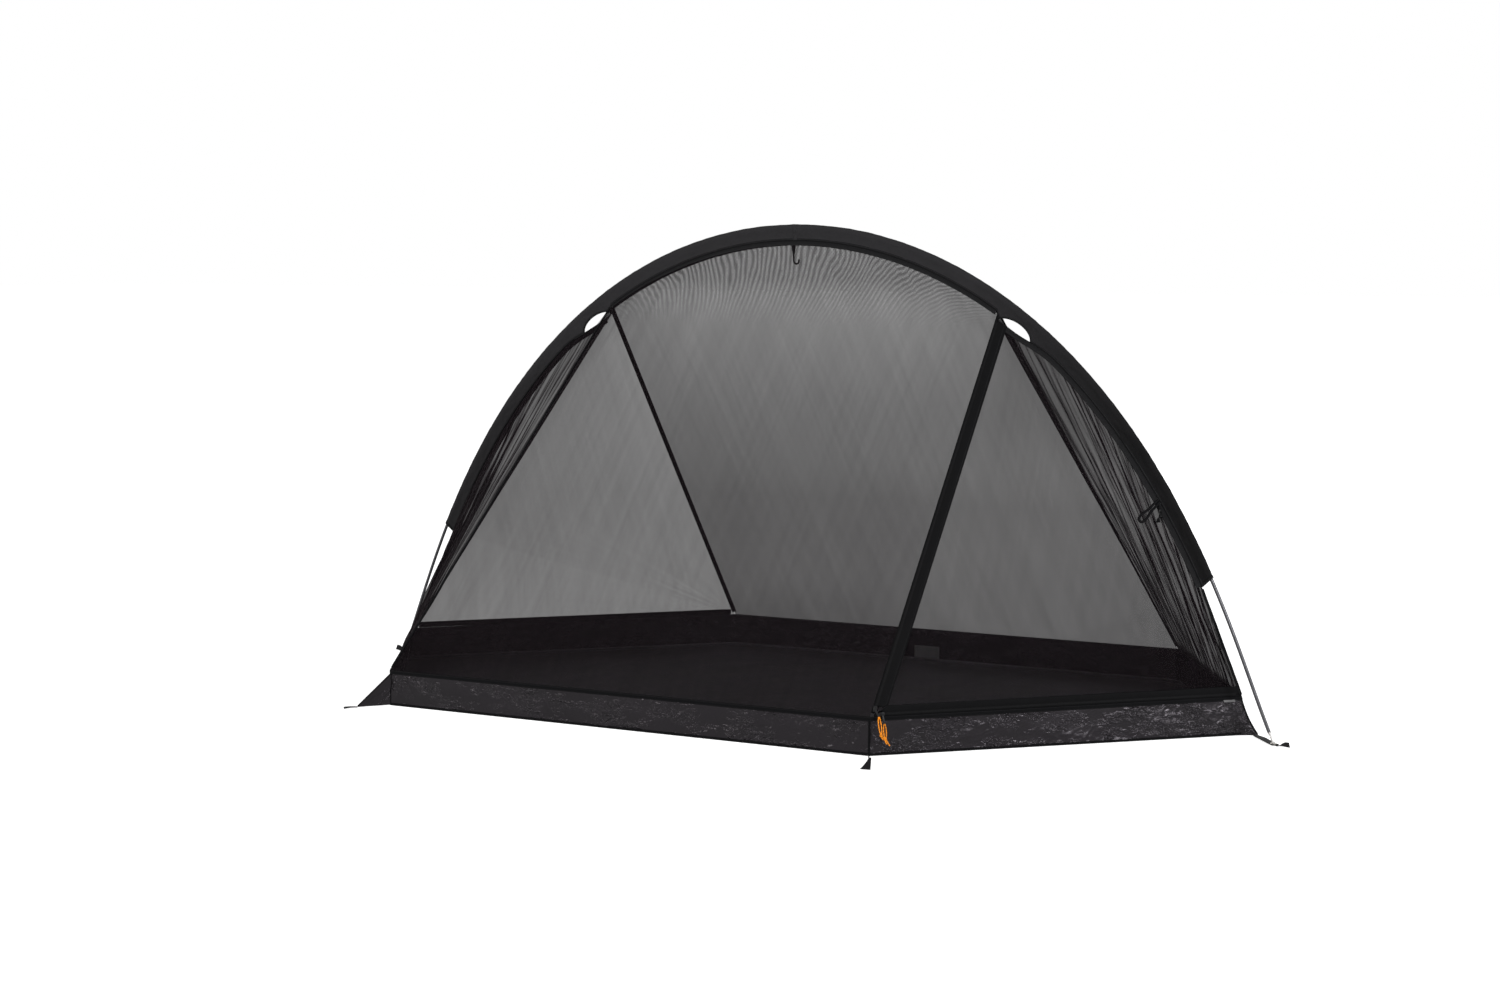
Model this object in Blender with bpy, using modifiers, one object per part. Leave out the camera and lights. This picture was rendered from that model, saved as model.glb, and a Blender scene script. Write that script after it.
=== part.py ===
"""Inner tent of a one-person, single-hoop backpacking tent, pitched and empty.

Metres, +Z up. The origin is on the ground under the hoop's apex, X runs along
the hoop and the door is on the -Y side. The tent looks the same when it is
turned half way round its vertical axis, except for the door and its zips.
"""
import math

import bmesh
import bpy
from mathutils import Matrix, Vector

# Hoop pole, measured to the tube's centre line
HOOP_HALF_SPAN = 1.150
HOOP_HEIGHT = 1.1435
HOOP_WIDENING_SHARE = 0.304
HOOP_WIDENING_TOP_SHARE = 0.159
HOOP_FALL_SHARE = -0.9505
HOOP_FALL_LOW_SHARE = 0.0507
TUBE_DIAMETER = 0.0079
TUBE_WALL = 0.0007
TUBE_END_HEIGHT = 0.028
TUBE_SECTIONS = 8
STEPS_PER_SECTION = 8
SWAGE_TAPER = 0.003
CORD_DIAMETER = 0.0025
TIP_PIN_DIAMETER = 0.0045
TIP_COLLAR = 0.004
TIP_SPIGOT_LENGTH = 0.016
TIP_SHOULDER = 0.001

# Floor outline, right-hand half; the other half is the same turned round
FRONT_LEFT_X = -0.848
FRONT_LEFT_Y = -0.503
FRONT_X = 0.362
FRONT_Y = -0.449
RIGHT_X = 1.096
RIGHT_Y = 0.068
WALL_HEIGHT = 0.086
WALL_LEAN = 0.0024
TIP_LEAN = 0.026
FABRIC = 0.0012

# Sleeve over the hoop, measured from the tube's centre line
SLEEVE_ROOM = 0.0012
SLEEVE_DEPTH = 0.032
SLEEVE_END_DEPTH = 0.025
SLEEVE_REACH = 1.355
SLEEVE_END_SLANT = 0.012
SEAM_REACH = 0.556
WINDOW_START = 0.009
SLEEVE_SEAM_GAP = 0.0016
WINDOW_LENGTH = 0.100
WINDOW_HEIGHT = 0.015
HEM_WIDTH = 0.012
HEM_THICKNESS = 0.0008
HEM_END_GAP = 0.003
END_STEPS = 14
FOOT_STEPS = 3

# Seams, zips and bindings
GAP = 0.0003
SEAM_INSET = 0.0012
EDGE_OFFSET = 0.0009
BINDING_WIDTH = 0.009
BINDING_THICKNESS = 0.0010
RIDGE_BINDING_WIDTH = 0.012
ZIP_FRAME_TAPE = 0.0055
ZIP_SLOT = 0.001
SIDE_BAND_WIDTH = 0.030
BOTTOM_BAND_WIDTH = 0.024
BAND_CORNER = 0.052
DOOR_FOLD_DISTANCE = 0.040
DOOR_AXIS_LIFT = 0.060
DOOR_FOLD_GAP = 0.0012

# Folds in the slack end panels
FOLD_DEPTH = 0.007
FOLD_COUNT = 7
FOLD_CLEARANCE = 0.0008

# Zip sliders and their cord pulls
SLIDER_LENGTH = 0.013
SLIDER_WIDTH = 0.009
SLIDER_HEIGHT = 0.0035
SLIDER_CLEARANCE = 0.0008
SIDE_SLIDER_REST = 0.020
BOTTOM_SLIDER_REST = 0.026
PULL_LENGTH = 0.046
PULL_DIAMETER = 0.0026
PULL_TILT_SIDE = math.radians(24.0)
PULL_TILT_BOTTOM = math.radians(8.0)
PULL_PIN_RADIUS = 0.0011
PULL_RING_RADIUS = 0.0029
PULL_RING_WIDTH = 0.0022
PULL_PIN_LENGTH = 0.0056
SLIDER_POST_RADIUS = 0.0016
SLIDER_POST_OFFSET = 0.0030
SLIDER_ROUNDING = 0.0008

# Webbing, straps and loops on the ground
WEBBING = 0.0015
STRAP_WIDTH = 0.018
EYELET_HOLE = 0.0036
EYELET_BARREL = 0.0008
EYELET_FLANGE = 0.0072
EYELET_PLATE = 0.0008
STRAP_NECK = 0.0063
STRAP_SHOULDER = 0.030
STRAP_OVERHANG = 0.002
FOOT_LOOP_LENGTH = 0.030
FOOT_LOOP_NECK = 0.006
PEG_LOOP_LENGTH = 0.090
PEG_LOOP_WIDTH = 0.018
PEG_LOOP_NECK = 0.004
FIN_REACH = 0.076
FIN_TIP_HEIGHT = 0.004
FIN_LOOP_LENGTH = 0.032
FIN_LOOP_NECK = 0.008
FOOT_LOOP_HEADING = math.radians(-13.0)
PEG_LOOP_HEADING = math.radians(-73.0)
FIN_HEADING = math.radians(218.75)

# Tie-back, placed from the sleeve's end, and apex hook
TIEBACK_FROM_END = 0.218
TIEBACK_LENGTH = 0.056
TIEBACK_WIDTH = 0.011
TIEBACK_CORD = 0.003
TIEBACK_TURN = math.radians(-14.0)
TOGGLE_LENGTH = 0.018
TOGGLE_DIAMETER = 0.007
TOGGLE_CORD = 0.008
TOGGLE_CORD_RADIUS = 0.0012
TOGGLE_ROUNDING = 0.002
TOGGLE_FROM_END = 0.208
TOGGLE_INSET = 0.006
HOOK_WIRE = 0.003
HOOK_LENGTH = 0.034
HOOK_RADIUS = 0.0055
HOOK_OFFSET = -0.005
HOOK_DROP = 0.0045

# Care label
LABEL_WIDTH = 0.028
LABEL_HEIGHT = 0.007
LABEL_INSET = 0.048
LABEL_THICKNESS = 0.0005
LABEL_DROP = 0.004

UP = Vector((0.0, 0.0, 1.0))
HALF_TURN = Matrix.Rotation(math.pi, 4, "Z")


def clear_scene():
    for item in list(bpy.data.objects):
        bpy.data.objects.remove(item, do_unlink=True)


def new_collection(name):
    collection = bpy.data.collections.new(name)
    bpy.context.scene.collection.children.link(collection)
    return collection


clear_scene()
PARTS = new_collection("backpacking_tent")
GUIDES = new_collection("guides")


def material(name, colour, roughness, metallic=0.0):
    made = bpy.data.materials.new(name)
    made.use_nodes = True
    shader = made.node_tree.nodes["Principled BSDF"]
    shader.inputs["Base Color"].default_value = (*colour, 1.0)
    shader.inputs["Roughness"].default_value = roughness
    shader.inputs["Metallic"].default_value = metallic
    return made


def report(what, point, axis):
    """Print where a moving piece turns or slides."""
    print(what, [round(v, 5) for v in point], [round(v, 5) for v in axis])


def add_object(name, data, finish):
    """Put new mesh or curve data in the tent's collection with its own material."""
    item = bpy.data.objects.new(name, data)
    item.data.materials.append(material(name + "_finish", *FINISHES[finish]))
    PARTS.objects.link(item)
    return item


FINISHES = {
    "mesh": ((0.16, 0.15, 0.155), 0.85),
    "coated": ((0.035, 0.032, 0.033), 0.45),
    "webbing": ((0.012, 0.012, 0.013), 0.75),
    "sleeve": ((0.023, 0.023, 0.025), 0.70),
    "hem": ((0.008, 0.008, 0.009), 0.75),
    "alloy": ((0.55, 0.56, 0.58), 0.35, 1.0),
    "dark_alloy": ((0.05, 0.05, 0.055), 0.40, 1.0),
    "brass": ((0.60, 0.58, 0.52), 0.35, 1.0),
    "black_plastic": ((0.012, 0.012, 0.012), 0.40),
    "grey_plastic": ((0.20, 0.20, 0.21), 0.45),
    "orange_cord": ((0.75, 0.24, 0.01), 0.70),
    "label": ((0.62, 0.61, 0.60), 0.80),
}


def surface_mesh(name, columns):
    """Open surface through columns of points; points that meet are joined."""
    built = bmesh.new()
    rows = [[built.verts.new(point) for point in column] for column in columns]
    for left, right in zip(rows, rows[1:]):
        for k in range(len(left) - 1):
            built.faces.new((left[k], right[k], right[k + 1], left[k + 1]))
    bmesh.ops.remove_doubles(built, verts=built.verts, dist=0.00002)
    bmesh.ops.recalc_face_normals(built, faces=built.faces)
    data = bpy.data.meshes.new(name)
    built.to_mesh(data)
    built.free()
    return data


def fabric(name, columns, finish, thickness=FABRIC):
    """A sheet of cloth: an open surface thickened evenly to both sides."""
    item = add_object(name, surface_mesh(name, columns), finish)
    shell = item.modifiers.new("thickness", "SOLIDIFY")
    shell.thickness = thickness
    shell.offset = 0.0
    return item


def turned_copy(name, source, finish):
    """The same piece on the far side, turned half way round the tent's axis."""
    item = add_object(name, source.data.copy(), finish)
    item.data.materials.pop(index=0)
    item.matrix_world = HALF_TURN @ source.matrix_world
    for old in source.modifiers:
        shell = item.modifiers.new(old.name, "SOLIDIFY")
        shell.thickness = old.thickness
        shell.offset = old.offset
    return item


def tube(name, points, radius, finish, sides=8, caps=True, swage=()):
    """Round rod or open tube along a list of points.

    swage holds the share of the radius at each of the last points.
    """
    data = bpy.data.curves.new(name, "CURVE")
    data.dimensions = "3D"
    data.bevel_depth = radius
    data.bevel_resolution = sides // 2 - 2
    data.use_fill_caps = caps
    spline = data.splines.new("POLY")
    spline.points.add(len(points) - 1)
    for target, point in zip(spline.points, points):
        target.co = (*point, 1.0)
    for k, share in enumerate(swage):
        spline.points[len(points) - len(swage) + k].radius = share
    return add_object(name, data, finish)


def hollow_tube(name, points, radius, wall, finish, swage=()):
    item = tube(name, points, radius, finish, caps=False, swage=swage)
    shell = item.modifiers.new("wall", "SOLIDIFY")
    shell.thickness = wall
    shell.offset = -1.0
    return item


def flat_outline(name, loops, height, thickness, finish):
    """Flat webbing cut to one or more closed outlines, lying level."""
    data = bpy.data.curves.new(name, "CURVE")
    data.dimensions = "2D"
    data.fill_mode = "BOTH"
    data.extrude = thickness / 2
    for loop in loops:
        spline = data.splines.new("POLY")
        spline.points.add(len(loop) - 1)
        spline.use_cyclic_u = True
        for target, point in zip(spline.points, loop):
            target.co = (point[0], point[1], 0.0, 1.0)
    item = add_object(name, data, finish)
    item.location = (0.0, 0.0, height + thickness / 2)
    return item


def turned(name, profile, place, finish, steps=20):
    """Turned piece: a closed or axis-to-axis profile of (radius, height) points."""
    data = bpy.data.meshes.new(name)
    points = [(radius, 0.0, height) for radius, height in profile]
    on_axis = profile[0][0] == 0.0
    edges = [(k, k + 1) for k in range(len(points) - 1)]
    if not on_axis:
        edges.append((len(points) - 1, 0))
    data.from_pydata(points, edges, [])
    item = add_object(name, data, finish)
    item.matrix_world = place
    screw = item.modifiers.new("turn", "SCREW")
    screw.axis = "Z"
    screw.steps = steps
    screw.render_steps = steps
    screw.use_merge_vertices = True
    screw.merge_threshold = 0.00005
    return item


def frame_matrix(origin, x_axis, z_axis):
    """Placement with local X and Z along the given directions."""
    z = z_axis.normalized()
    x = (x_axis - z * x_axis.dot(z)).normalized()
    y = z.cross(x)
    return Matrix((
        (x.x, y.x, z.x, origin.x),
        (x.y, y.y, z.y, origin.y),
        (x.z, y.z, z.z, origin.z),
        (0.0, 0.0, 0.0, 1.0),
    ))


# The hoop's curve


def hoop_at(angle):
    across = math.sin(angle)
    rise = math.cos(angle)
    spread = 1.0 + HOOP_WIDENING_SHARE * rise**2 + HOOP_WIDENING_TOP_SHARE * rise**4
    drop = 1.0 + HOOP_FALL_SHARE * across**2 + HOOP_FALL_LOW_SHARE * across**4
    return Vector((HOOP_HALF_SPAN * across * spread, 0.0, HOOP_HEIGHT * rise * drop))


def measure_hoop(steps=2400):
    """Angles and arc lengths from the apex to the ground on the right."""
    angles = [math.pi / 2 * k / steps for k in range(steps + 1)]
    lengths = [0.0]
    for a, b in zip(angles, angles[1:]):
        lengths.append(lengths[-1] + (hoop_at(b) - hoop_at(a)).length)
    return angles, lengths


HOOP_ANGLES, HOOP_LENGTHS = measure_hoop()


def hoop_angle(reach):
    """Angle at a signed distance along the hoop from its apex."""
    target = abs(reach)
    low = 0
    high = len(HOOP_LENGTHS) - 1
    while high - low > 1:
        middle = (low + high) // 2
        if HOOP_LENGTHS[middle] < target:
            low = middle
        else:
            high = middle
    share = (target - HOOP_LENGTHS[low]) / (HOOP_LENGTHS[high] - HOOP_LENGTHS[low])
    angle = HOOP_ANGLES[low] + share * (HOOP_ANGLES[high] - HOOP_ANGLES[low])
    return math.copysign(angle, reach)


def hoop_frame(reach):
    """Centre, direction and outward normal of the hoop."""
    angle = hoop_angle(reach)
    small = 0.0005
    along = (hoop_at(angle + small) - hoop_at(angle - small)).normalized()
    outward = Vector((-along.z, 0.0, along.x))
    return hoop_at(angle), along, outward


def tube_end_reach():
    """Distance from the apex at which the tube's end stands over the ground."""
    for angle, length in zip(HOOP_ANGLES, HOOP_LENGTHS):
        if hoop_at(angle).z < TUBE_END_HEIGHT:
            return length
    return HOOP_LENGTHS[-1]


TUBE_END = tube_end_reach()
TUBE_STEP = 2 * TUBE_END / (TUBE_SECTIONS * STEPS_PER_SECTION)
TUBE_RADIUS = TUBE_DIAMETER / 2
TUBE_BORE = TUBE_RADIUS - TUBE_WALL


def tube_point(step):
    return hoop_at(hoop_angle(step * TUBE_STEP - TUBE_END))


def sleeve_depth(reach):
    share = abs(reach) / SLEEVE_REACH
    return SLEEVE_DEPTH + (SLEEVE_END_DEPTH - SLEEVE_DEPTH) * share**2


def window_cut(reach):
    """How far the half-moon window bites into the sleeve's lower edge."""
    middle = SEAM_REACH + WINDOW_START + WINDOW_LENGTH / 2
    offset = (abs(reach) - middle) / (WINDOW_LENGTH / 2)
    if abs(offset) >= 1.0:
        return 0.0
    return WINDOW_HEIGHT * math.sqrt(1.0 - offset**2)


def mesh_edge(reach, side):
    """Where a mesh panel meets the sleeve: side -1 is the front, +1 the back."""
    centre, along, outward = hoop_frame(reach)
    edge = centre - outward * (sleeve_depth(reach) + SEAM_INSET)
    return edge + Vector((0.0, side * EDGE_OFFSET, 0.0))


# Corners of the floor and of the walls' top edge

FLOOR_FRONT_LEFT = Vector((FRONT_LEFT_X, FRONT_LEFT_Y, 0.0))
FLOOR_FRONT = Vector((FRONT_X, FRONT_Y, 0.0))
FLOOR_RIGHT = Vector((RIGHT_X, RIGHT_Y, 0.0))
TOP_FRONT_LEFT = FLOOR_FRONT_LEFT + Vector((WALL_LEAN, WALL_LEAN, WALL_HEIGHT))
TOP_FRONT = FLOOR_FRONT + Vector((0.0, WALL_LEAN, WALL_HEIGHT))
TOP_RIGHT = FLOOR_RIGHT + Vector((-TIP_LEAN, 0.0, WALL_HEIGHT))
FLOOR_CORNERS = [FLOOR_FRONT_LEFT, FLOOR_FRONT, FLOOR_RIGHT]
FLOOR_CORNERS += [HALF_TURN @ corner for corner in FLOOR_CORNERS]
TOP_CORNERS = [TOP_FRONT_LEFT, TOP_FRONT, TOP_RIGHT]
TOP_CORNERS += [HALF_TURN @ corner for corner in TOP_CORNERS]
WALL_NAMES = (
    "wall_front", "wall_door", "wall_right_end",
    "wall_back", "wall_back_left", "wall_left_end",
)


def make_floor():
    outline = []
    for corner in FLOOR_CORNERS:
        outline.append(corner + corner.normalized() * FABRIC)
    return flat_outline("floor", [outline], 0.0, FABRIC, "coated")


def wall_point(k, share, height):
    """Point of wall k: share along it from its first corner, at a height."""
    low = FLOOR_CORNERS[k].lerp(FLOOR_CORNERS[(k + 1) % 6], share)
    top = TOP_CORNERS[k].lerp(TOP_CORNERS[(k + 1) % 6], share)
    return low.lerp(top, height / WALL_HEIGHT)


def make_walls():
    """Six low walls that stand on the floor's rim and meet at its corners."""
    foot = FABRIC + GAP
    for k, name in enumerate(WALL_NAMES):
        inset = SEAM_INSET / (FLOOR_CORNERS[(k + 1) % 6] - FLOOR_CORNERS[k]).length
        columns = []
        for share in (inset, 0.25, 0.5, 0.75, 1.0 - inset):
            heights = (foot, WALL_HEIGHT / 2, WALL_HEIGHT)
            columns.append([wall_point(k, share, height) for height in heights])
        fabric(name, columns, "coated")


# Panels


class Fan:
    """Panel of straight lines from one corner to a curved edge, so it lies flat."""

    def __init__(self, corner, edge):
        self.corner = corner
        self.edge = edge
        self.angles = [0.0]
        for a, b in zip(edge, edge[1:]):
            self.angles.append(self.angles[-1] + (a - corner).angle(b - corner))
        self.spread = self.angles[-1]

    def edge_point(self, angle):
        last = len(self.angles) - 2
        k = 0
        while k < last and self.angles[k + 1] < angle:
            k += 1
        share = (angle - self.angles[k]) / (self.angles[k + 1] - self.angles[k])
        return self.edge[k].lerp(self.edge[k + 1], share)

    def reach(self, angle):
        return (self.edge_point(angle) - self.corner).length

    def point(self, distance, angle):
        line = (self.edge_point(angle) - self.corner).normalized()
        return self.corner + line * distance

    def normal(self, angle):
        small = 0.01
        low = max(angle - small, 0.0)
        high = min(angle + small, self.spread)
        turn = self.point(1.0, high) - self.point(1.0, low)
        line = self.point(1.0, angle) - self.corner
        return turn.cross(line).normalized()

    def beside_first(self, along, offset):
        """Point a distance along the first edge and a distance in from it."""
        return self.point(math.hypot(along, offset), math.atan2(offset, along))

    def beside_last(self, along, offset):
        """The same from the last edge."""
        angle = self.spread - math.atan2(offset, along)
        return self.point(math.hypot(along, offset), angle)


def fan_columns(fan, first, last, rim, count, rows):
    """Grid over a fan, set in by first and last from its straight edges.

    rim(angle) is the outer distance.
    """
    corner = math.atan2(first * math.sin(fan.spread), last + first * math.cos(fan.spread))
    start = math.asin(first / rim(first / rim(0.0)))
    end = fan.spread - math.asin(last / rim(fan.spread - last / rim(fan.spread)))
    split = max(2, round(count * (corner - start) / (end - start)))
    angles = [start + (corner - start) * k / split for k in range(split)]
    rest = count - split
    angles += [corner + (end - corner) * k / rest for k in range(rest + 1)]
    columns = []
    for angle in angles:
        inner = max(first / math.sin(angle), last / math.sin(fan.spread - angle))
        outer = rim(angle)
        inner = min(inner, outer)
        column = []
        for k in range(rows + 1):
            column.append(fan.point(inner + (outer - inner) * k / rows, angle))
        columns.append(column)
    return columns


class Ruled:
    """Panel of straight lines from an upper edge to a lower one."""

    def __init__(self, upper, lower):
        self.upper = upper
        self.lower = lower

    def point(self, u, v, lift=0.0):
        """u runs along both edges and v from the upper edge to the lower one."""
        place = self.upper(u).lerp(self.lower(u), v)
        if lift:
            place = place + self.normal(u, v) * lift
        return place

    def normal(self, u, v):
        small = 0.002
        across = self.point(min(u + small, 1.0), v) - self.point(max(u - small, 0.0), v)
        down = self.point(u, min(v + small, 1.0)) - self.point(u, max(v - small, 0.0))
        return down.cross(across).normalized()

    def height(self, u):
        return (self.point(u, 1.0) - self.point(u, 0.0)).length


def foot_point(side):
    return TOP_RIGHT + Vector((0.0, side * EDGE_OFFSET, SEAM_INSET))


def sleeve_edge(share, side):
    """Point of the sleeve's lower edge between the seam and the sleeve's end."""
    return mesh_edge(SEAM_REACH + (SLEEVE_REACH - SEAM_REACH) * share, side)


def door_edge():
    """Curved edge of the door's panel, down to the right corner."""
    edge = [sleeve_edge(k / END_STEPS, -1) for k in range(END_STEPS + 1)]
    for k in range(1, FOOT_STEPS + 1):
        edge.append(edge[END_STEPS].lerp(foot_point(-1), k / FOOT_STEPS))
    return edge


def main_upper(u):
    return mesh_edge(SEAM_REACH * (2.0 * u - 1.0), -1)


def main_lower(u):
    return TOP_FRONT_LEFT.lerp(TOP_FRONT, u)


def end_upper(u):
    return sleeve_edge(u, 1)


def end_lower(u):
    start = HALF_TURN @ TOP_FRONT_LEFT + UP * SEAM_INSET / 2
    return start.lerp(foot_point(1), u)


DOOR_FAN = Fan(TOP_FRONT + UP * SEAM_INSET / 2, door_edge())
MAIN_PANEL = Ruled(main_upper, main_lower)
END_PANEL = Ruled(end_upper, end_lower)

# The door folds about a line beside the chord from the seam to the right corner
FOLD_TOP = DOOR_FAN.edge[0]
FOLD_FOOT = DOOR_FAN.edge[-1]
FOLD_LINE = (FOLD_TOP - FOLD_FOOT).normalized()


def across_fold(point):
    rest = point - FOLD_FOOT
    return rest - FOLD_LINE * rest.dot(FOLD_LINE)


FOLD_INWARD = across_fold(DOOR_FAN.corner).normalized()
FOLD_OUTWARD = FOLD_LINE.cross(FOLD_INWARD)


def door_rim(angle):
    """Distance from the door's free corner to the line where its panel ends."""
    line = DOOR_FAN.point(1.0, angle) - DOOR_FAN.corner
    depth = across_fold(DOOR_FAN.corner).dot(FOLD_INWARD) - DOOR_FOLD_DISTANCE
    return depth / -line.dot(FOLD_INWARD)


def make_main_panels():
    across = SEAM_INSET / (TOP_FRONT - TOP_FRONT_LEFT).length
    down = SEAM_INSET / MAIN_PANEL.height(1 / 2)
    columns = []
    for k in range(19):
        u = across + (1.0 - 2.0 * across) * k / 18
        columns.append([MAIN_PANEL.point(u, (1.0 - down) * j / 5) for j in range(6)])
    front = fabric("mesh_front", columns, "mesh")
    turned_copy("mesh_back", front, "mesh")


def end_fold(u, v):
    """Slack folds that hang from the sleeve to the end wall like a curtain's."""
    calm = min(1.0, 1.8 * math.sin(math.pi * u) ** 2 * math.sin(math.pi * v) ** 1.3)
    wave = math.sin(2 * math.pi * FOLD_COUNT * u)
    wave += 0.4 * math.sin(2 * math.pi * (FOLD_COUNT * 1.7 * u + 0.6 * v))
    return FOLD_DEPTH * calm * wave


def make_end_panels():
    across = 1.5 * SEAM_INSET / (end_lower(1.0) - end_lower(0.0)).length
    down = SEAM_INSET / END_PANEL.height(1.0)
    columns = []
    for k in range(43):
        u = across + (1.0 - 2.0 * across) * k / 42
        column = []
        for j in range(9):
            v = (1.0 - down) * j / 8
            column.append(END_PANEL.point(u, v, end_fold(u, v)))
        columns.append(column)
    right = fabric("mesh_right_end", columns, "mesh")
    turned_copy("mesh_left_end", right, "mesh")


def make_back_left_panel():
    rim = DOOR_FAN.reach
    columns = fan_columns(DOOR_FAN, SEAM_INSET, SEAM_INSET, rim, 20, 6)
    columns = [[HALF_TURN @ point for point in column] for column in columns]
    fabric("mesh_back_left", columns, "mesh")


def make_door():
    """Door panel, and the strip along the sleeve that it folds down from."""
    seam = ZIP_SLOT / 2
    side = SIDE_BAND_WIDTH + seam
    bottom = BOTTOM_BAND_WIDTH + seam
    fabric("door_mesh", fan_columns(DOOR_FAN, side, bottom, door_rim, 18, 6), "mesh")
    columns = []
    count = 22
    for k in range(count + 1):
        start = SEAM_INSET / DOOR_FAN.reach(0.0)
        end = DOOR_FAN.spread - SEAM_INSET / DOOR_FAN.reach(DOOR_FAN.spread)
        angle = start + (end - start) * k / count
        inner = door_rim(angle) + DOOR_FOLD_GAP
        outer = DOOR_FAN.reach(angle)
        columns.append([DOOR_FAN.point(inner + (outer - inner) * j / 3, angle) for j in range(4)])
    fabric("door_fold_strip", columns, "mesh")
    report("door hinge", FOLD_FOOT + FOLD_OUTWARD * DOOR_AXIS_LIFT, FOLD_LINE)


def band_end(offset, angle_of):
    """Distance along an edge at which a band meets the door's fold."""
    along = door_rim(angle_of(0.0, 1.0))
    for _ in range(6):
        distance = door_rim(angle_of(offset, along))
        along = math.sqrt(distance**2 - offset**2)
    return along


def from_first(offset, along):
    return math.atan2(offset, along)


def from_last(offset, along):
    return DOOR_FAN.spread - math.atan2(offset, along)


def band(name, beside, angle_of, inner, outer, start, trim):
    """Flat tape beside one straight edge of the door, up to the fold."""
    columns = []
    count = 16
    for k in range(count + 1):
        column = []
        for j in range(3):
            offset = inner + (outer - inner) * j / 2
            end = band_end(offset, angle_of) - trim
            column.append(beside(start + (end - start) * k / count, offset))
        columns.append(column)
    return fabric(name, columns, "webbing")


def make_zips():
    """Two tapes on each run of the zip: one stays on the tent, one on the door."""
    fan = DOOR_FAN
    slot_edge = ZIP_FRAME_TAPE + ZIP_SLOT
    start = ZIP_FRAME_TAPE / math.tan(fan.spread) + 2 * SEAM_INSET
    clear = GAP
    side = fan.beside_first
    bottom = fan.beside_last
    band("zip_side_frame_tape", side, from_first, SEAM_INSET, ZIP_FRAME_TAPE, start, clear)
    band("zip_side_door_tape", side, from_first, slot_edge, SIDE_BAND_WIDTH, BAND_CORNER, 0.0)
    low_start = 2 * start + ZIP_FRAME_TAPE
    band("zip_bottom_frame_tape", bottom, from_last, SEAM_INSET, ZIP_FRAME_TAPE, low_start, clear)
    band("zip_bottom_door_tape", bottom, from_last, slot_edge, BOTTOM_BAND_WIDTH, BAND_CORNER, 0.0)


# Bindings over the seams


def seam_binding(name, first, second, width, clearance=GAP):
    """Bent tape over a seam: wings on both panels, lifted clear of their faces.

    first and second hold, for each station, a point of the panel's edge and
    the direction that lies in the panel away from it.
    """
    lift = FABRIC / 2 + clearance + BINDING_THICKNESS / 2
    columns = []
    for (edge_a, side_a), (edge_b, side_b) in zip(first, second):
        ridge = -(side_a + side_b).normalized()
        up_a = (ridge - side_a * ridge.dot(side_a)).normalized()
        up_b = (ridge - side_b * ridge.dot(side_b)).normalized()
        middle = (edge_a + edge_b) / 2
        rise_a = (lift - (middle - edge_a).dot(up_a)) / ridge.dot(up_a)
        rise_b = (lift - (middle - edge_b).dot(up_b)) / ridge.dot(up_b)
        columns.append([
            edge_a + side_a * width / 2 + up_a * lift,
            middle + ridge * max(rise_a, rise_b),
            edge_b + side_b * width / 2 + up_b * lift,
        ])
    return fabric(name, columns, "hem", BINDING_THICKNESS)


def square_to(direction, line):
    return (direction - line * direction.dot(line)).normalized()


def fan_stations(fan, shares, width, turn):
    """Edge points and inward directions along a fan's first edge."""
    line = (fan.corner - fan.edge[0]).normalized()
    stations = []
    for share in shares:
        point = fan.edge[0].lerp(fan.corner, share)
        inside = fan.beside_first((fan.corner - point).length, width / 2)
        stations.append((turn @ point, turn.to_3x3() @ square_to(inside - point, line)))
    return stations


def ruled_stations(panel, edge, shares, width, turn):
    """The same along the first (0) or last (1) straight line of a ruled panel."""
    line = (panel.point(edge, 1.0) - panel.point(edge, 0.0)).normalized()
    stations = []
    for share in shares:
        point = panel.point(edge, share)
        opposite = panel.point(1.0 - edge, share)
        inner = width / 2 / (opposite - point).length
        beside = panel.point(edge + (1.0 - 2.0 * edge) * inner, share)
        stations.append((turn @ point, turn.to_3x3() @ square_to(beside - point, line)))
    return stations


def make_bindings():
    still = Matrix.Identity(4)
    shares = [0.03 + 0.93 * k / 10 for k in range(11)]
    end_side = ruled_stations(END_PANEL, 0.0, shares, BINDING_WIDTH, still)
    main_side = ruled_stations(MAIN_PANEL, 0.0, shares, BINDING_WIDTH, HALF_TURN)
    back_right = seam_binding("binding_back_right", end_side, main_side, BINDING_WIDTH)
    turned_copy("binding_front_left", back_right, "hem")

    left_side = fan_stations(DOOR_FAN, shares, RIDGE_BINDING_WIDTH, HALF_TURN)
    main_side = ruled_stations(MAIN_PANEL, 1.0, shares, RIDGE_BINDING_WIDTH, HALF_TURN)
    seam_binding("binding_back_left", left_side, main_side, RIDGE_BINDING_WIDTH)

    front = []
    shares = [0.05 + 0.91 * k / 6 for k in range(7)]
    low = DOOR_FAN.edge[-1]
    high = DOOR_FAN.edge[END_STEPS]
    for share in shares:
        point = high.lerp(low, share)
        inward = square_to(DOOR_FAN.corner - point, (low - high).normalized())
        front.append((point, inward))
    back = ruled_stations(END_PANEL, 1.0, shares, BINDING_WIDTH, still)
    edge = seam_binding("binding_right_edge", front, back, BINDING_WIDTH, FOLD_CLEARANCE)
    turned_copy("binding_left_edge", edge, "hem")


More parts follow.
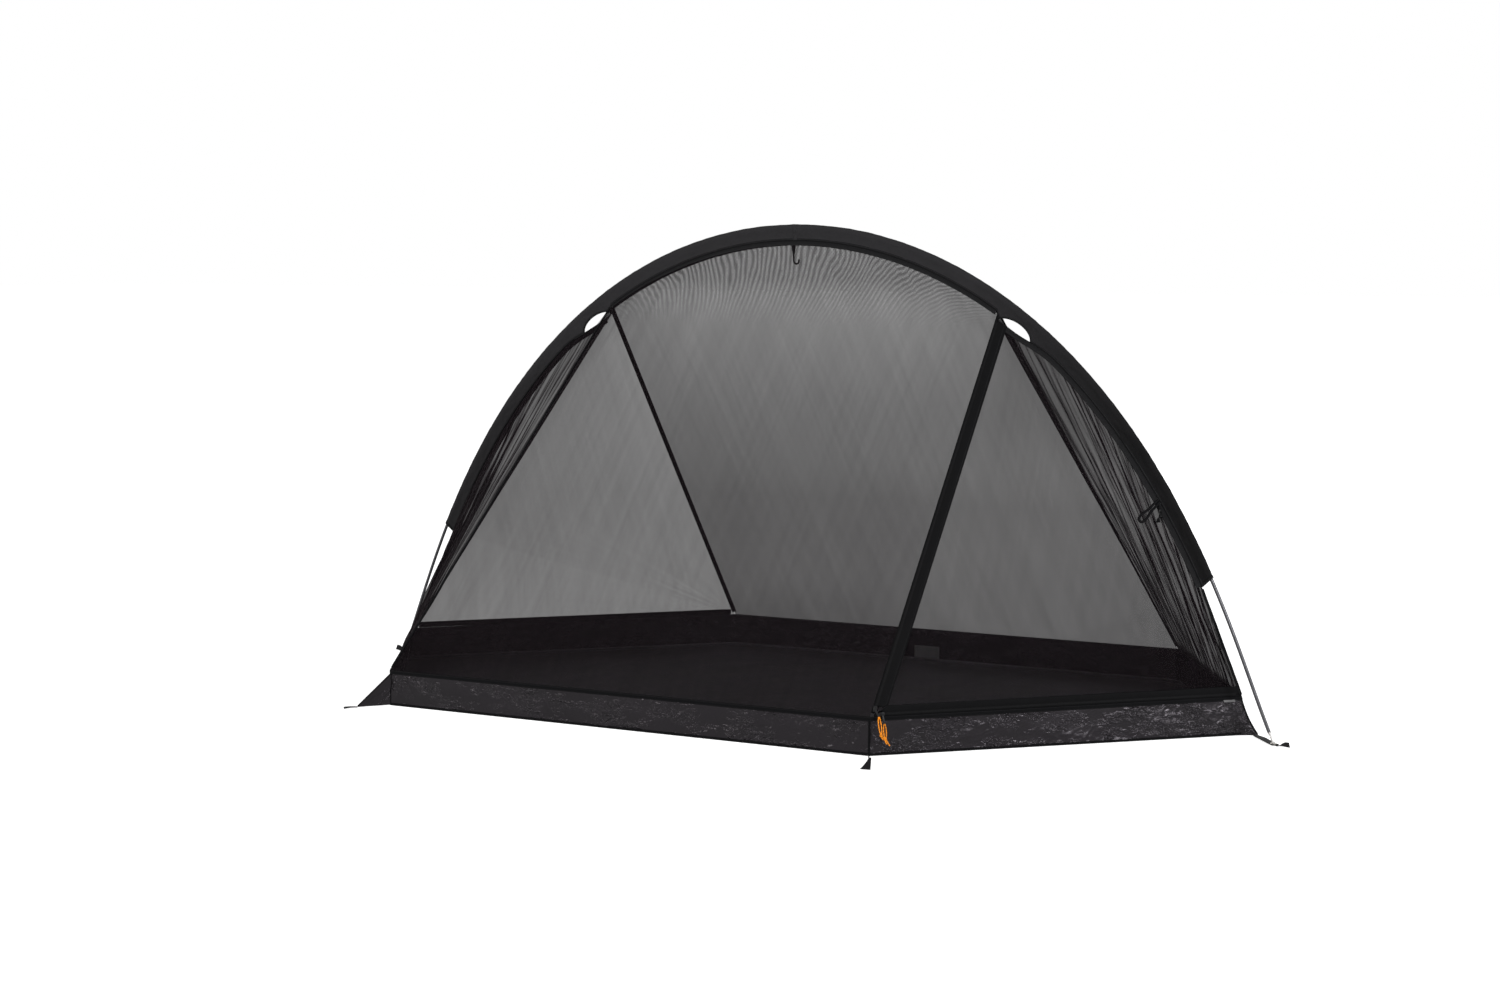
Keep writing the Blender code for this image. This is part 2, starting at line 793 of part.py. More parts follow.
def make_hems():
    """Dark hems on the outer faces of the panels, along the sleeve."""
    lift = FABRIC / 2 + GAP + HEM_THICKNESS / 2
    height = MAIN_PANEL.height(1 / 2)
    columns = []
    for k in range(19):
        u = 0.012 + 0.976 * k / 18
        top = MAIN_PANEL.point(u, GAP / height, lift)
        columns.append([top, MAIN_PANEL.point(u, HEM_WIDTH / height, lift)])
    front = fabric("hem_front", columns, "hem", HEM_THICKNESS)
    turned_copy("hem_back", front, "hem")
    columns = []
    first = (SIDE_BAND_WIDTH + GAP) / DOOR_FAN.reach(0.0)
    last = DOOR_FAN.angles[END_STEPS] - HEM_END_GAP / DOOR_FAN.reach(DOOR_FAN.spread)
    for k in range(23):
        angle = first + (last - first) * k / 22
        outer = DOOR_FAN.reach(angle)
        up = DOOR_FAN.normal(angle) * lift
        columns.append([
            DOOR_FAN.point(outer - GAP, angle) + up,
            DOOR_FAN.point(outer - HEM_WIDTH, angle) + up,
        ])
    door = fabric("hem_door", columns, "hem", HEM_THICKNESS)
    turned_copy("hem_back_left", door, "hem")


# Sleeve and pole


def sleeve_section(reach, slant=0.0):
    """Points round the pole and down to the sleeve's lower edge on both sides.

    slant is how far the top lies behind the lower edge, where the end is cut askew.
    """
    centre, along, outward = hoop_frame(reach)
    radius = TUBE_RADIUS + SLEEVE_ROOM + FABRIC / 2
    half = FABRIC / 2 + GAP
    depth = sleeve_depth(reach) - window_cut(reach)
    points = [(-half, -depth), (-half * 1.4, -(depth + radius) / 2)]
    for k in range(7):
        angle = math.radians(200.0 - 220.0 * k / 6)
        points.append((radius * math.cos(angle), radius * math.sin(angle)))
    points += [(half * 1.4, -(depth + radius) / 2), (half, -depth)]
    section = []
    for y, up in points:
        behind = slant * (depth + up) / (depth + radius)
        section.append(centre + Vector((0.0, y, 0.0)) + outward * up - along * behind)
    return section


def sleeve_stations():
    """Distances from the apex: even steps, with close ones round the window."""
    start = SEAM_REACH + WINDOW_START
    end = start + WINDOW_LENGTH
    first = SLEEVE_SEAM_GAP / 2
    stations = [first + (start - first) * k / 9 for k in range(10)]
    for k in range(1, 9):
        turn = math.pi * k / 9
        stations.append(start + (end - start) * (1.0 - math.cos(turn)) / 2)
    stations += [end + (SLEEVE_REACH - end) * k / 10 for k in range(11)]
    return stations


def make_sleeves():
    columns = [sleeve_section(reach) for reach in sleeve_stations()[:-1]]
    columns.append(sleeve_section(SLEEVE_REACH, SLEEVE_END_SLANT))
    right = fabric("sleeve_right", columns, "sleeve")
    turned_copy("sleeve_left", right, "sleeve")


def make_pole():
    for k in range(TUBE_SECTIONS):
        points = [tube_point(k * STEPS_PER_SECTION + j) for j in range(STEPS_PER_SECTION + 1)]
        points[0] = points[0].lerp(points[1], GAP / 2 / TUBE_STEP)
        points[-1] = points[-1].lerp(points[-2], GAP / 2 / TUBE_STEP)
        swage = ()
        if k < TUBE_SECTIONS - 1:
            joint = (k + 1) * STEPS_PER_SECTION
            shoulder = points[-1]
            points[-1] = shoulder.lerp(points[-2], SWAGE_TAPER / TUBE_STEP)
            points += [shoulder, tube_point(joint), tube_point(joint + 1)]
            narrow = (TUBE_BORE - 2 * GAP) / TUBE_RADIUS
            swage = (1.0, narrow, narrow, narrow)
        name = "pole_section_" + str(k + 1)
        hollow_tube(name, points, TUBE_RADIUS, TUBE_WALL, "dark_alloy", swage)
    steps = TUBE_SECTIONS * STEPS_PER_SECTION
    points = [tube_point(k) for k in range(steps + 1)]
    short = (TIP_SPIGOT_LENGTH + GAP) / TUBE_STEP
    points[0] = points[0].lerp(points[1], short)
    points[-1] = points[-1].lerp(points[-2], short)
    tube("shock_cord", points, CORD_DIAMETER / 2, "webbing", sides=6)


def make_tips():
    """Pins in the pole's ends: spigot in the tube, collar, pin through the eyelet."""
    end = tube_point(TUBE_SECTIONS * STEPS_PER_SECTION)
    before = tube_point(TUBE_SECTIONS * STEPS_PER_SECTION - 1)
    upward = (before - end).normalized()
    place = frame_matrix(end, Vector((0.0, 1.0, 0.0)), upward)
    spigot = TUBE_BORE - GAP
    pin = TIP_PIN_DIAMETER / 2
    drop = (end.z - FABRIC) / upward.z
    profile = [
        (0.0, TIP_SPIGOT_LENGTH), (spigot, TIP_SPIGOT_LENGTH), (spigot, -GAP),
        (TUBE_RADIUS, -GAP), (TUBE_RADIUS, -GAP - TIP_COLLAR),
        (pin, -GAP - TIP_COLLAR - TIP_SHOULDER), (pin, -drop + TIP_SHOULDER), (0.0, -drop),
    ]
    turned("pole_tip_right", profile, place, "alloy", steps=16)
    turned("pole_tip_left", profile, HALF_TURN @ place, "alloy", steps=16)


# Webbing on the ground

TUBE_FOOT = tube_point(TUBE_SECTIONS * STEPS_PER_SECTION)
TUBE_UPWARD = (tube_point(TUBE_SECTIONS * STEPS_PER_SECTION - 1) - TUBE_FOOT).normalized()
FOOT = TUBE_FOOT - TUBE_UPWARD * ((TUBE_FOOT.z - WEBBING) / TUBE_UPWARD.z)
FOOT.z = 0.0
STRAP_LINE = (FOOT - FLOOR_RIGHT).normalized()
STRAP_END = FOOT + STRAP_LINE * (EYELET_FLANGE + STRAP_OVERHANG)


def circle(centre, radius, count=16):
    points = []
    for k in range(count):
        turn = 2 * math.pi * k / count
        points.append(centre + Vector((radius * math.cos(turn), radius * math.sin(turn), 0.0)))
    return points


def make_foot_straps():
    """Strap from the floor's corner to the eyelet under the pole's foot."""
    line = STRAP_LINE
    start = FLOOR_RIGHT + FLOOR_RIGHT.normalized() * FABRIC + line * GAP
    side = line.cross(UP) * STRAP_WIDTH / 2
    narrow = line.cross(UP) * STRAP_NECK / 2
    shoulder = start + line * STRAP_SHOULDER
    outline = [
        start - narrow, start + narrow, shoulder + side,
        STRAP_END + side, STRAP_END - side, shoulder - side,
    ]
    hole = circle(FOOT, EYELET_HOLE + EYELET_BARREL + GAP)
    height = EYELET_PLATE + GAP
    right = flat_outline("foot_strap_right", [outline, hole], height, WEBBING, "webbing")
    copy_outline("foot_strap_left", right, "webbing")
    inner = EYELET_HOLE
    barrel = EYELET_HOLE + EYELET_BARREL
    low = height - GAP
    high = height + WEBBING + GAP
    profile = [
        (inner, high + EYELET_PLATE), (EYELET_FLANGE, high + EYELET_PLATE),
        (EYELET_FLANGE, high), (barrel, high), (barrel, low), (EYELET_FLANGE, low),
        (EYELET_FLANGE, 0.0), (inner, 0.0),
    ]
    place = Matrix.Translation(FOOT)
    turned("eyelet_right", profile, place, "brass")
    turned("eyelet_left", profile, HALF_TURN @ place, "brass")


def copy_outline(name, source, finish):
    item = add_object(name, source.data.copy(), finish)
    item.data.materials.pop(index=0)
    item.matrix_world = HALF_TURN @ source.matrix_basis
    return item


def webbing_tab(name, start, line, length, neck, width):
    """Flat loop of webbing that widens from its neck, lying on the ground.

    It lifts about the top edge of its neck.
    """
    side = line.cross(UP)
    report(name + " hinge", start + UP * WEBBING, side)
    shoulder = start + line * length * 0.35
    end = start + line * length
    outline = [
        start + side * neck / 2, shoulder + side * neck / 2, end + side * width / 2,
        end - side * width / 2, shoulder - side * neck / 2, start - side * neck / 2,
    ]
    return flat_outline(name, [outline], 0.0, WEBBING, "webbing")


def make_loops():
    outside = Vector((math.cos(FOOT_LOOP_HEADING), math.sin(FOOT_LOOP_HEADING), 0.0))
    turned_away = STRAP_LINE.angle(outside)
    start = STRAP_END + STRAP_LINE * (GAP + FOOT_LOOP_NECK / 2 * math.sin(turned_away))
    right = webbing_tab(
        "foot_loop_right", start, outside, FOOT_LOOP_LENGTH, FOOT_LOOP_NECK, STRAP_WIDTH)
    copy_outline("foot_loop_left", right, "webbing")
    outward = Vector((math.cos(PEG_LOOP_HEADING), math.sin(PEG_LOOP_HEADING), 0.0))
    start = FLOOR_FRONT + FLOOR_FRONT.normalized() * FABRIC + outward * GAP
    tab = webbing_tab(
        "peg_loop_front", start, outward, PEG_LOOP_LENGTH, PEG_LOOP_NECK, PEG_LOOP_WIDTH)
    copy_outline("peg_loop_back", tab, "webbing")


def make_fins():
    """Upright triangles of wall cloth at the square corners, each with its loop.

    Each is sewn in between the ends of the two walls that meet there.
    """
    outward = Vector((math.cos(FIN_HEADING), math.sin(FIN_HEADING), 0.0))
    low = FLOOR_FRONT_LEFT - outward * GAP + UP * (FABRIC + GAP)
    top = TOP_FRONT_LEFT - outward * GAP
    tip = FLOOR_FRONT_LEFT + outward * FIN_REACH + UP * FIN_TIP_HEIGHT
    tip_low = tip - UP * (FIN_TIP_HEIGHT - 2 * GAP)
    columns = []
    for share in (0.0, 0.5, 1.0):
        columns.append([top.lerp(tip, share), low.lerp(tip_low, share)])
    fin = fabric("corner_fin_front_left", columns, "coated")
    turned_copy("corner_fin_back_right", fin, "coated")
    start = tip + outward * 2 * GAP
    start.z = 0.0
    loop = webbing_tab(
        "fin_loop_front_left", start, outward, FIN_LOOP_LENGTH, FIN_LOOP_NECK, STRAP_WIDTH)
    copy_outline("fin_loop_back_right", loop, "webbing")


# Zip sliders and pulls


def block(name, size, place, finish, round_edge):
    """Box of the given size with rounded edges."""
    data = bpy.data.meshes.new(name)
    built = bmesh.new()
    bmesh.ops.create_cube(built, size=1.0)
    bmesh.ops.scale(built, vec=size, verts=built.verts)
    built.to_mesh(data)
    built.free()
    item = add_object(name, data, finish)
    item.matrix_world = place
    edge = item.modifiers.new("rounding", "BEVEL")
    edge.width = round_edge
    edge.segments = 2
    return item


def rod_mesh(radius, length, sides, place):
    """Closed cylinder along local Z, as a hidden guide for joining."""
    data = bpy.data.meshes.new("rod")
    built = bmesh.new()
    bmesh.ops.create_cone(
        built, cap_ends=True, segments=sides, radius1=radius, radius2=radius, depth=length)
    built.to_mesh(data)
    built.free()
    item = bpy.data.objects.new("rod_guide", data)
    item.matrix_world = place
    item.hide_render = True
    item.display_type = "WIRE"
    GUIDES.objects.link(item)
    return item


def join_with(item, guide):
    union = item.modifiers.new("join", "BOOLEAN")
    union.operation = "UNION"
    union.object = guide
    union.solver = "EXACT"


HINGE_LINE = (FLOOR_RIGHT - FLOOR_FRONT).normalized()


def make_slider(name, pull_name, base, along, normal, tilt):
    """Slider over the zip with a cross pin, and the cord pull that hangs on it."""
    centre = base + normal * (FABRIC / 2 + SLIDER_CLEARANCE + SLIDER_HEIGHT / 2)
    place = frame_matrix(centre, along, normal)
    body = block(name, (SLIDER_LENGTH, SLIDER_WIDTH, SLIDER_HEIGHT), place, "black_plastic", SLIDER_ROUNDING)
    pin_lift = SLIDER_HEIGHT / 2 + PULL_RING_RADIUS + 2 * GAP
    pin = centre + normal * pin_lift
    post_height = pin_lift + PULL_PIN_RADIUS
    post_centre = centre + normal * (post_height / 2) - HINGE_LINE * SLIDER_POST_OFFSET
    post_place = frame_matrix(post_centre, along, normal)
    join_with(body, rod_mesh(SLIDER_POST_RADIUS, post_height, 10, post_place))
    pin_middle = pin + HINGE_LINE * (PULL_PIN_LENGTH / 2 - SLIDER_POST_OFFSET)
    pin_place = frame_matrix(pin_middle, normal, HINGE_LINE)
    join_with(body, rod_mesh(PULL_PIN_RADIUS, PULL_PIN_LENGTH, 10, pin_place))
    outward = square_to(normal, UP)
    outward = square_to(outward, HINGE_LINE)
    down = (-UP * math.cos(tilt) + outward * math.sin(tilt)).normalized()
    ring_inner = PULL_PIN_RADIUS + GAP
    side_gap = SLIDER_POST_RADIUS + 3 * GAP - SLIDER_POST_OFFSET
    ring_centre = pin + HINGE_LINE * (side_gap + PULL_RING_WIDTH / 2)
    half = PULL_RING_WIDTH / 2
    ring = [
        (PULL_RING_RADIUS, half), (PULL_RING_RADIUS, -half),
        (ring_inner, -half), (ring_inner, half),
    ]
    pull_place = frame_matrix(ring_centre, down, HINGE_LINE)
    pull = turned(pull_name, ring, pull_place, "orange_cord", steps=14)
    strand_length = PULL_LENGTH - (ring_inner + PULL_RING_RADIUS) / 2
    strand_centre = ring_centre + down * ((ring_inner + PULL_RING_RADIUS) / 2 + strand_length / 2)
    strand_place = frame_matrix(strand_centre, HINGE_LINE, down)
    join_with(pull, rod_mesh(PULL_DIAMETER / 2, strand_length, 10, strand_place))
    report(name + " travel", centre, along.normalized())
    report(pull_name + " hinge", pin, -HINGE_LINE)


def slider_travel(angle_of, rest):
    """Run of a slider from its rest to just past the door's fold."""
    end = band_end(ZIP_FRAME_TAPE + ZIP_SLOT / 2, angle_of)
    return end + SLIDER_LENGTH / 2 + DOOR_FOLD_GAP - rest


def make_sliders():
    offset = ZIP_FRAME_TAPE + ZIP_SLOT / 2
    side_travel = slider_travel(from_first, SIDE_SLIDER_REST)
    bottom_travel = slider_travel(from_last, BOTTOM_SLIDER_REST)
    print("slider travels", round(side_travel, 4), round(bottom_travel, 4))
    base = DOOR_FAN.beside_first(SIDE_SLIDER_REST, offset)
    far = DOOR_FAN.beside_first(SIDE_SLIDER_REST + side_travel, offset)
    normal = DOOR_FAN.normal(0.02)
    make_slider("slider_side", "pull_side", base, far - base, normal, PULL_TILT_SIDE)
    base = DOOR_FAN.beside_last(BOTTOM_SLIDER_REST, offset)
    far = DOOR_FAN.beside_last(BOTTOM_SLIDER_REST + bottom_travel, offset)
    normal = DOOR_FAN.normal(DOOR_FAN.spread - 0.02)
    make_slider("slider_bottom", "pull_bottom", base, far - base, normal, PULL_TILT_BOTTOM)


# Small fittings


def door_edge_angle(reach):
    """Angle in the door's fan of the point at a distance along the hoop."""
    place = (reach - SEAM_REACH) / (SLEEVE_REACH - SEAM_REACH) * END_STEPS
    step = int(place)
    low = DOOR_FAN.angles[step]
    return low + (place - step) * (DOOR_FAN.angles[step + 1] - low)


def make_tieback():
    """Cord loop and toggle on the sleeve's lower edge, outside the door's hem."""
    angle = door_edge_angle(SLEEVE_REACH - TIEBACK_FROM_END)
    normal = DOOR_FAN.normal(angle)
    lift = FABRIC / 2 + HEM_THICKNESS + 2 * GAP + TIEBACK_CORD / 2
    start = DOOR_FAN.edge_point(angle) + normal * lift
    inward = (DOOR_FAN.corner - DOOR_FAN.edge_point(angle)).normalized()
    turn = Matrix.Rotation(TIEBACK_TURN, 3, normal)
    line = turn @ inward
    side = normal.cross(line)
    half = TIEBACK_WIDTH / 2
    outline = (
        (0.06, 0.45), (0.35, 1.0), (0.8, 1.0), (1.0, 0.0), (0.8, -1.0), (0.35, -1.0), (0.06, -0.45),
    )
    points = [start + line * TIEBACK_LENGTH * run + side * half * out for run, out in outline]
    tube("tieback_loop", points, TIEBACK_CORD / 2, "webbing")

    angle = door_edge_angle(SLEEVE_REACH - TOGGLE_FROM_END)
    normal = DOOR_FAN.normal(angle)
    toggle_radius = TOGGLE_DIAMETER / 2
    fall = square_to(-UP, normal)
    cross = fall.cross(normal)
    hinge = DOOR_FAN.edge_point(angle) + normal * (lift - TIEBACK_CORD / 2 + toggle_radius)
    hinge += inward * TOGGLE_INSET
    centre = hinge + fall * (TOGGLE_CORD + TOGGLE_LENGTH / 2)
    half = TOGGLE_LENGTH / 2
    profile = [
        (0.0, half + TOGGLE_CORD), (TOGGLE_CORD_RADIUS, half + TOGGLE_CORD), (TOGGLE_CORD_RADIUS, half),
        (toggle_radius * 0.7, half), (toggle_radius, half - TOGGLE_ROUNDING), (toggle_radius * 0.8, 0.0),
        (toggle_radius, -half + TOGGLE_ROUNDING), (toggle_radius * 0.7, -half), (0.0, -half),
    ]
    turned("tieback_toggle", profile, frame_matrix(centre, normal, -fall), "grey_plastic", steps=12)
    report("toggle hinge", hinge, cross)


def make_hook():
    """Hook that hangs inside the tent from the hem under its apex."""
    top = mesh_edge(HOOK_OFFSET, 0) - UP * HOOK_DROP
    low = top - UP * (HOOK_LENGTH - HOOK_RADIUS)
    points = [top, low]
    for k in range(1, 9):
        turn = math.pi + math.pi * 1.1 * k / 8
        offset = Vector((1.0 + math.cos(turn), 0.0, math.sin(turn)))
        points.append(low + offset * HOOK_RADIUS)
    tube("apex_hook", points, HOOK_WIRE / 2, "black_plastic")
    report("hook hinge", top, Vector((1.0, 0.0, 0.0)))


def make_label():
    """Blank care label below the door-side wall's top edge."""
    length = (TOP_RIGHT - TOP_FRONT).length
    line = (TOP_RIGHT - TOP_FRONT).normalized()
    columns = []
    for k in range(3):
        share = 1.0 - (LABEL_INSET - LABEL_WIDTH * k / 2) / length
        low = wall_point(1, share, WALL_HEIGHT - LABEL_DROP - LABEL_HEIGHT)
        top = wall_point(1, share, WALL_HEIGHT - LABEL_DROP)
        outward = line.cross(top - low).normalized()
        lift = outward * (FABRIC / 2 + GAP + LABEL_THICKNESS / 2)
        columns.append([low + lift, top + lift])
    fabric("care_label", columns, "label", LABEL_THICKNESS)


make_floor()
make_walls()
make_main_panels()
make_end_panels()
make_back_left_panel()
make_door()
make_zips()
make_bindings()
make_hems()
make_sleeves()
make_pole()
make_tips()
make_foot_straps()
make_loops()
make_fins()
make_sliders()
make_tieback()
make_hook()
make_label()
bpy.context.view_layer.update()
print("pole length", round(2 * TUBE_END, 4), "pieces", len(PARTS.objects))
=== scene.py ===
"""Dressed model of the inner tent: cloth, mesh, tapes, cords, fittings, light and camera.

Metres, +Z up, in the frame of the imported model. The hoop stands in the XZ plane
and the door is on the -Y side. Cloth and net are rebuilt here as fine sheets in
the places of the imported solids, from the same sizes.
"""
import math

import bmesh
import bpy
import numpy as np
from mathutils import Matrix, Vector, noise


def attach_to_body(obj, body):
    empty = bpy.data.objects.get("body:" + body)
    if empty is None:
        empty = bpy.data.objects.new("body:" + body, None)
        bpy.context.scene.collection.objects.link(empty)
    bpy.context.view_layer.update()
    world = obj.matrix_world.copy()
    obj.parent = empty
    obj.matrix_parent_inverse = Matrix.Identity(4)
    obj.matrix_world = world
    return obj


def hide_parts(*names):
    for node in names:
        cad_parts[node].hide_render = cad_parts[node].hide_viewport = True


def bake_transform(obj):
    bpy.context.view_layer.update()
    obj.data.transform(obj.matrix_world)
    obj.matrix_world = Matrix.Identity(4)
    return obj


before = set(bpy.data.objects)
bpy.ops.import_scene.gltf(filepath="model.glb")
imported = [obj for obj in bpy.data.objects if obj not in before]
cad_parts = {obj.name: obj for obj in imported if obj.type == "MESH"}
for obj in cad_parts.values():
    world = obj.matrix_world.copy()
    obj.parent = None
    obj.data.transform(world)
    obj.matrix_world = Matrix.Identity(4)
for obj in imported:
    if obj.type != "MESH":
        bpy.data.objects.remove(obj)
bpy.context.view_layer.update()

# Sizes of the construction
HALF_SPAN = 1.150
HOOP_HEIGHT = 1.1435
SLEEVE_DEPTH = 0.032
SLEEVE_END_DEPTH = 0.025
SLEEVE_REACH = 1.355
SLEEVE_END_SLANT = 0.012
SLANT_LENGTH = 0.069
SEAM_REACH = 0.556
WINDOW_START = 0.009
WINDOW_LENGTH = 0.096
EDGE_OFFSET = 0.0009
SEAM_INSET = 0.0012
TUBE_RADIUS = 0.00395
TUBE_END_HEIGHT = 0.028
TUBE_SECTIONS = 8
WALL_HEIGHT = 0.086
WALL_STEP = 0.0026
SIDE_BAND = 0.030
BOTTOM_BAND = 0.024
FRAME_TAPE = 0.0055
SLOT_CENTRE = FRAME_TAPE + 0.0005
SIDE_SLIDER_REST = 0.020
BOTTOM_SLIDER_REST = 0.026
TIEBACK_REACH = 1.137
TOGGLE_REACH = 1.147
FAN_STEPS = 240
CORD_RADIUS = 0.0012
CREASE_WIDTH = 0.0068
TAPE_PITCH = 0.0012
STITCH_LENGTH = 0.0034
NET_ROW = 0.0015
EYELET_HOLE = 0.0046
BEND_SHARE = 0.42
COIL_PITCH = 0.0022
COIL_START = 0.024
COIL_HALF = (0.00075, 0.0019, 0.00045)
TAB_LENGTH = 0.0220
FULL_TURN = 2 * math.pi

HALF = np.array([[-1.0, 0, 0], [0, -1.0, 0], [0, 0, 1.0]])
STILL = np.eye(3)
UP = np.array([0.0, 0.0, 1.0])
BOTH = (("right", STILL), ("left", HALF))

FLOOR_HALF = np.array([[-0.848, -0.503, 0.0], [0.362, -0.449, 0.0], [1.096, 0.068, 0.0]])
TOP_HALF = np.array([[-0.8456, -0.5006, 0.086], [0.362, -0.4466, 0.086], [1.070, 0.068, 0.086]])
FLOOR = np.concatenate([FLOOR_HALF, FLOOR_HALF @ HALF.T])
TOP = np.concatenate([TOP_HALF, TOP_HALF @ HALF.T])


def unit(vectors):
    vectors = np.asarray(vectors, float)
    return vectors / np.maximum(np.linalg.norm(vectors, axis=-1, keepdims=True), 1e-12)


def square_to(direction, line):
    return unit(direction - line * np.sum(direction * line, axis=-1, keepdims=True))


def clamp(values):
    return np.clip(values, 0.0, 1.0)


def evenly(count):
    return np.linspace(0.0, 1.0, count)


def lerp(a, b, t):
    t = np.asarray(t, float)[..., None]
    return a + (b - a) * t


def run_along(points):
    """Distance from the first point to each of a line's points."""
    steps = np.linalg.norm(np.diff(points, axis=0), axis=1)
    return np.concatenate([[0.0], np.cumsum(steps)])


def heading(degrees):
    turn = math.radians(degrees)
    return np.array([math.cos(turn), math.sin(turn), 0.0])


# Curves and panels of the construction


def hoop(angle):
    across = np.sin(angle)
    rise = np.cos(angle)
    x = HALF_SPAN * across * (1.0 + 0.304 * rise**2 + 0.159 * rise**4)
    z = HOOP_HEIGHT * rise * (1.0 - 0.9505 * across**2 + 0.0507 * across**4)
    return np.stack([x, 0.0 * x, z], axis=-1)


HOOP_ANGLES = np.linspace(0.0, math.pi / 2, 6001)
HOOP_POINTS = hoop(HOOP_ANGLES)
HOOP_LENGTHS = run_along(HOOP_POINTS)
TUBE_END = float(np.interp(-TUBE_END_HEIGHT, -HOOP_POINTS[:, 2], HOOP_LENGTHS))


def hoop_frame(reach):
    """Centre, direction and outward normal at signed distances from the apex."""
    reach = np.asarray(reach, float)
    angle = np.sign(reach) * np.interp(np.abs(reach), HOOP_LENGTHS, HOOP_ANGLES)
    along = unit(hoop(angle + 0.0005) - hoop(angle - 0.0005))
    outward = np.stack([-along[..., 2], 0.0 * along[..., 0], along[..., 0]], axis=-1)
    return hoop(angle), along, outward


def sleeve_depth(reach):
    share = np.abs(reach) / SLEEVE_REACH
    return SLEEVE_DEPTH + (SLEEVE_END_DEPTH - SLEEVE_DEPTH) * share**2


def window_fade(reach, near_seam):
    """Place in the window, -1 to 1 from the seam's end, and the fade beyond its ends."""
    middle = SEAM_REACH + WINDOW_START + WINDOW_LENGTH / 2
    place = (np.abs(reach) - middle) / (WINDOW_LENGTH / 2)
    beyond = (np.abs(place) - 1.0) * WINDOW_LENGTH / 2
    fade = np.where(place > 0.0, 0.070, near_seam)
    return np.clip(place, -1.0, 1.0), clamp(1.0 - beyond / fade) ** 1.5


def window_cut(reach):
    """Rise of the sleeve's edge over the window; it dips a little at the two ends."""
    near, fade = window_fade(reach, 0.014)
    return (-0.0145 + 0.0042 * near + 0.0205 * (1.0 - near**2) ** 0.6) * fade


def window_scoop(reach):
    """Sag of the net's edge under the window, deeper towards the seam."""
    near, fade = window_fade(reach, 0.009)
    return (0.0133 - 0.0042 * near + 0.0027 * (1.0 - near**2)) * fade


def rail(reach, side, drop=SEAM_INSET, y=EDGE_OFFSET):
    """Line along the sleeve's lower edge; side -1 is the front, +1 the back."""
    reach = np.asarray(reach, float)
    centre, _, outward = hoop_frame(reach)
    point = centre - outward * (sleeve_depth(reach) + drop)[..., None]
    point[..., 1] += side * y
    return point


def foot_point(side):
    return TOP[2] + np.array([0.0, side * EDGE_OFFSET, SEAM_INSET])


def main_upper(u, drop=SEAM_INSET, y=EDGE_OFFSET):
    return rail(SEAM_REACH * (2.0 * u - 1.0), -1, drop, y)


def main_lower(u):
    return lerp(TOP[0], TOP[1], u)


def end_upper(u):
    reach = SEAM_REACH + (SLEEVE_REACH - SEAM_REACH) * u
    return rail(reach, 1, SEAM_INSET + window_scoop(reach))


def end_lower(u):
    return lerp(TOP[3] + UP * SEAM_INSET / 2, foot_point(1), u)


MAIN = (main_upper, main_lower)
END = (end_upper, end_lower)


def ruled(panel, u, v):
    """Grid of points on the straight lines from a panel's upper to its lower edge."""
    a, b = (edge(u)[:, None, :] for edge in panel)
    return a + (b - a) * v[None, :, None]


# The door's panel is a fan of straight lines from its free corner
CORNER = TOP[1] + UP * SEAM_INSET / 2
FAN_REACHES = np.linspace(SEAM_REACH, SLEEVE_REACH, FAN_STEPS + 1)
FAN_EDGE = rail(FAN_REACHES, -1)
FAN_EDGE = np.concatenate([
    FAN_EDGE, lerp(FAN_EDGE[-1], foot_point(-1), evenly(81)[1:])])
FAN_SPOKES = unit(FAN_EDGE - CORNER)
FAN_ANGLES = np.concatenate([[0.0], np.cumsum(np.arccos(np.clip(
    np.sum(FAN_SPOKES[1:] * FAN_SPOKES[:-1], axis=1), -1.0, 1.0)))])
SPREAD = float(FAN_ANGLES[-1])
SLEEVE_ANGLE = float(FAN_ANGLES[FAN_STEPS])


def fan_edge(angle):
    return np.stack([np.interp(angle, FAN_ANGLES, FAN_EDGE[:, k]) for k in range(3)], axis=-1)


def fan_point(distance, angle):
    distance = np.asarray(distance, float)
    return CORNER + unit(fan_edge(angle) - CORNER) * distance[..., None]


def fan_reach(angle):
    return np.linalg.norm(fan_edge(angle) - CORNER, axis=-1)


def net_reach(angle):
    """Distance to the net's edge, which sags under the window."""
    scoop = window_scoop(np.interp(angle, FAN_ANGLES[:FAN_STEPS + 1], FAN_REACHES))
    return fan_reach(angle) - scoop


def fan_normal(angle):
    low, at, high = (fan_point(np.ones_like(angle), np.clip(angle + shift, 0.0, SPREAD))
                     for shift in (-0.01, 0.0, 0.01))
    return unit(np.cross(high - low, at - CORNER))


def beside_first(along, offset, lift=0.0):
    """Points beside the seam edge of the door: along it, in from it, lifted off."""
    angle = np.arctan2(offset, along)
    return fan_point(np.hypot(along, offset), angle) + fan_normal(angle) * lift


def beside_last(along, offset, lift=0.0):
    """Points beside the door's lower edge, as beside_first gives them."""
    angle = SPREAD - np.arctan2(offset, along)
    return fan_point(np.hypot(along, offset), angle) + fan_normal(angle) * lift


FOLD_FOOT = FAN_EDGE[-1]
FOLD_INWARD = square_to(CORNER - FOLD_FOOT, unit(FAN_EDGE[0] - FOLD_FOOT))
BEND_START = FOLD_FOOT - FOLD_INWARD * 0.012
BEND_END = FOLD_FOOT + FOLD_INWARD * 0.092

# Node materials


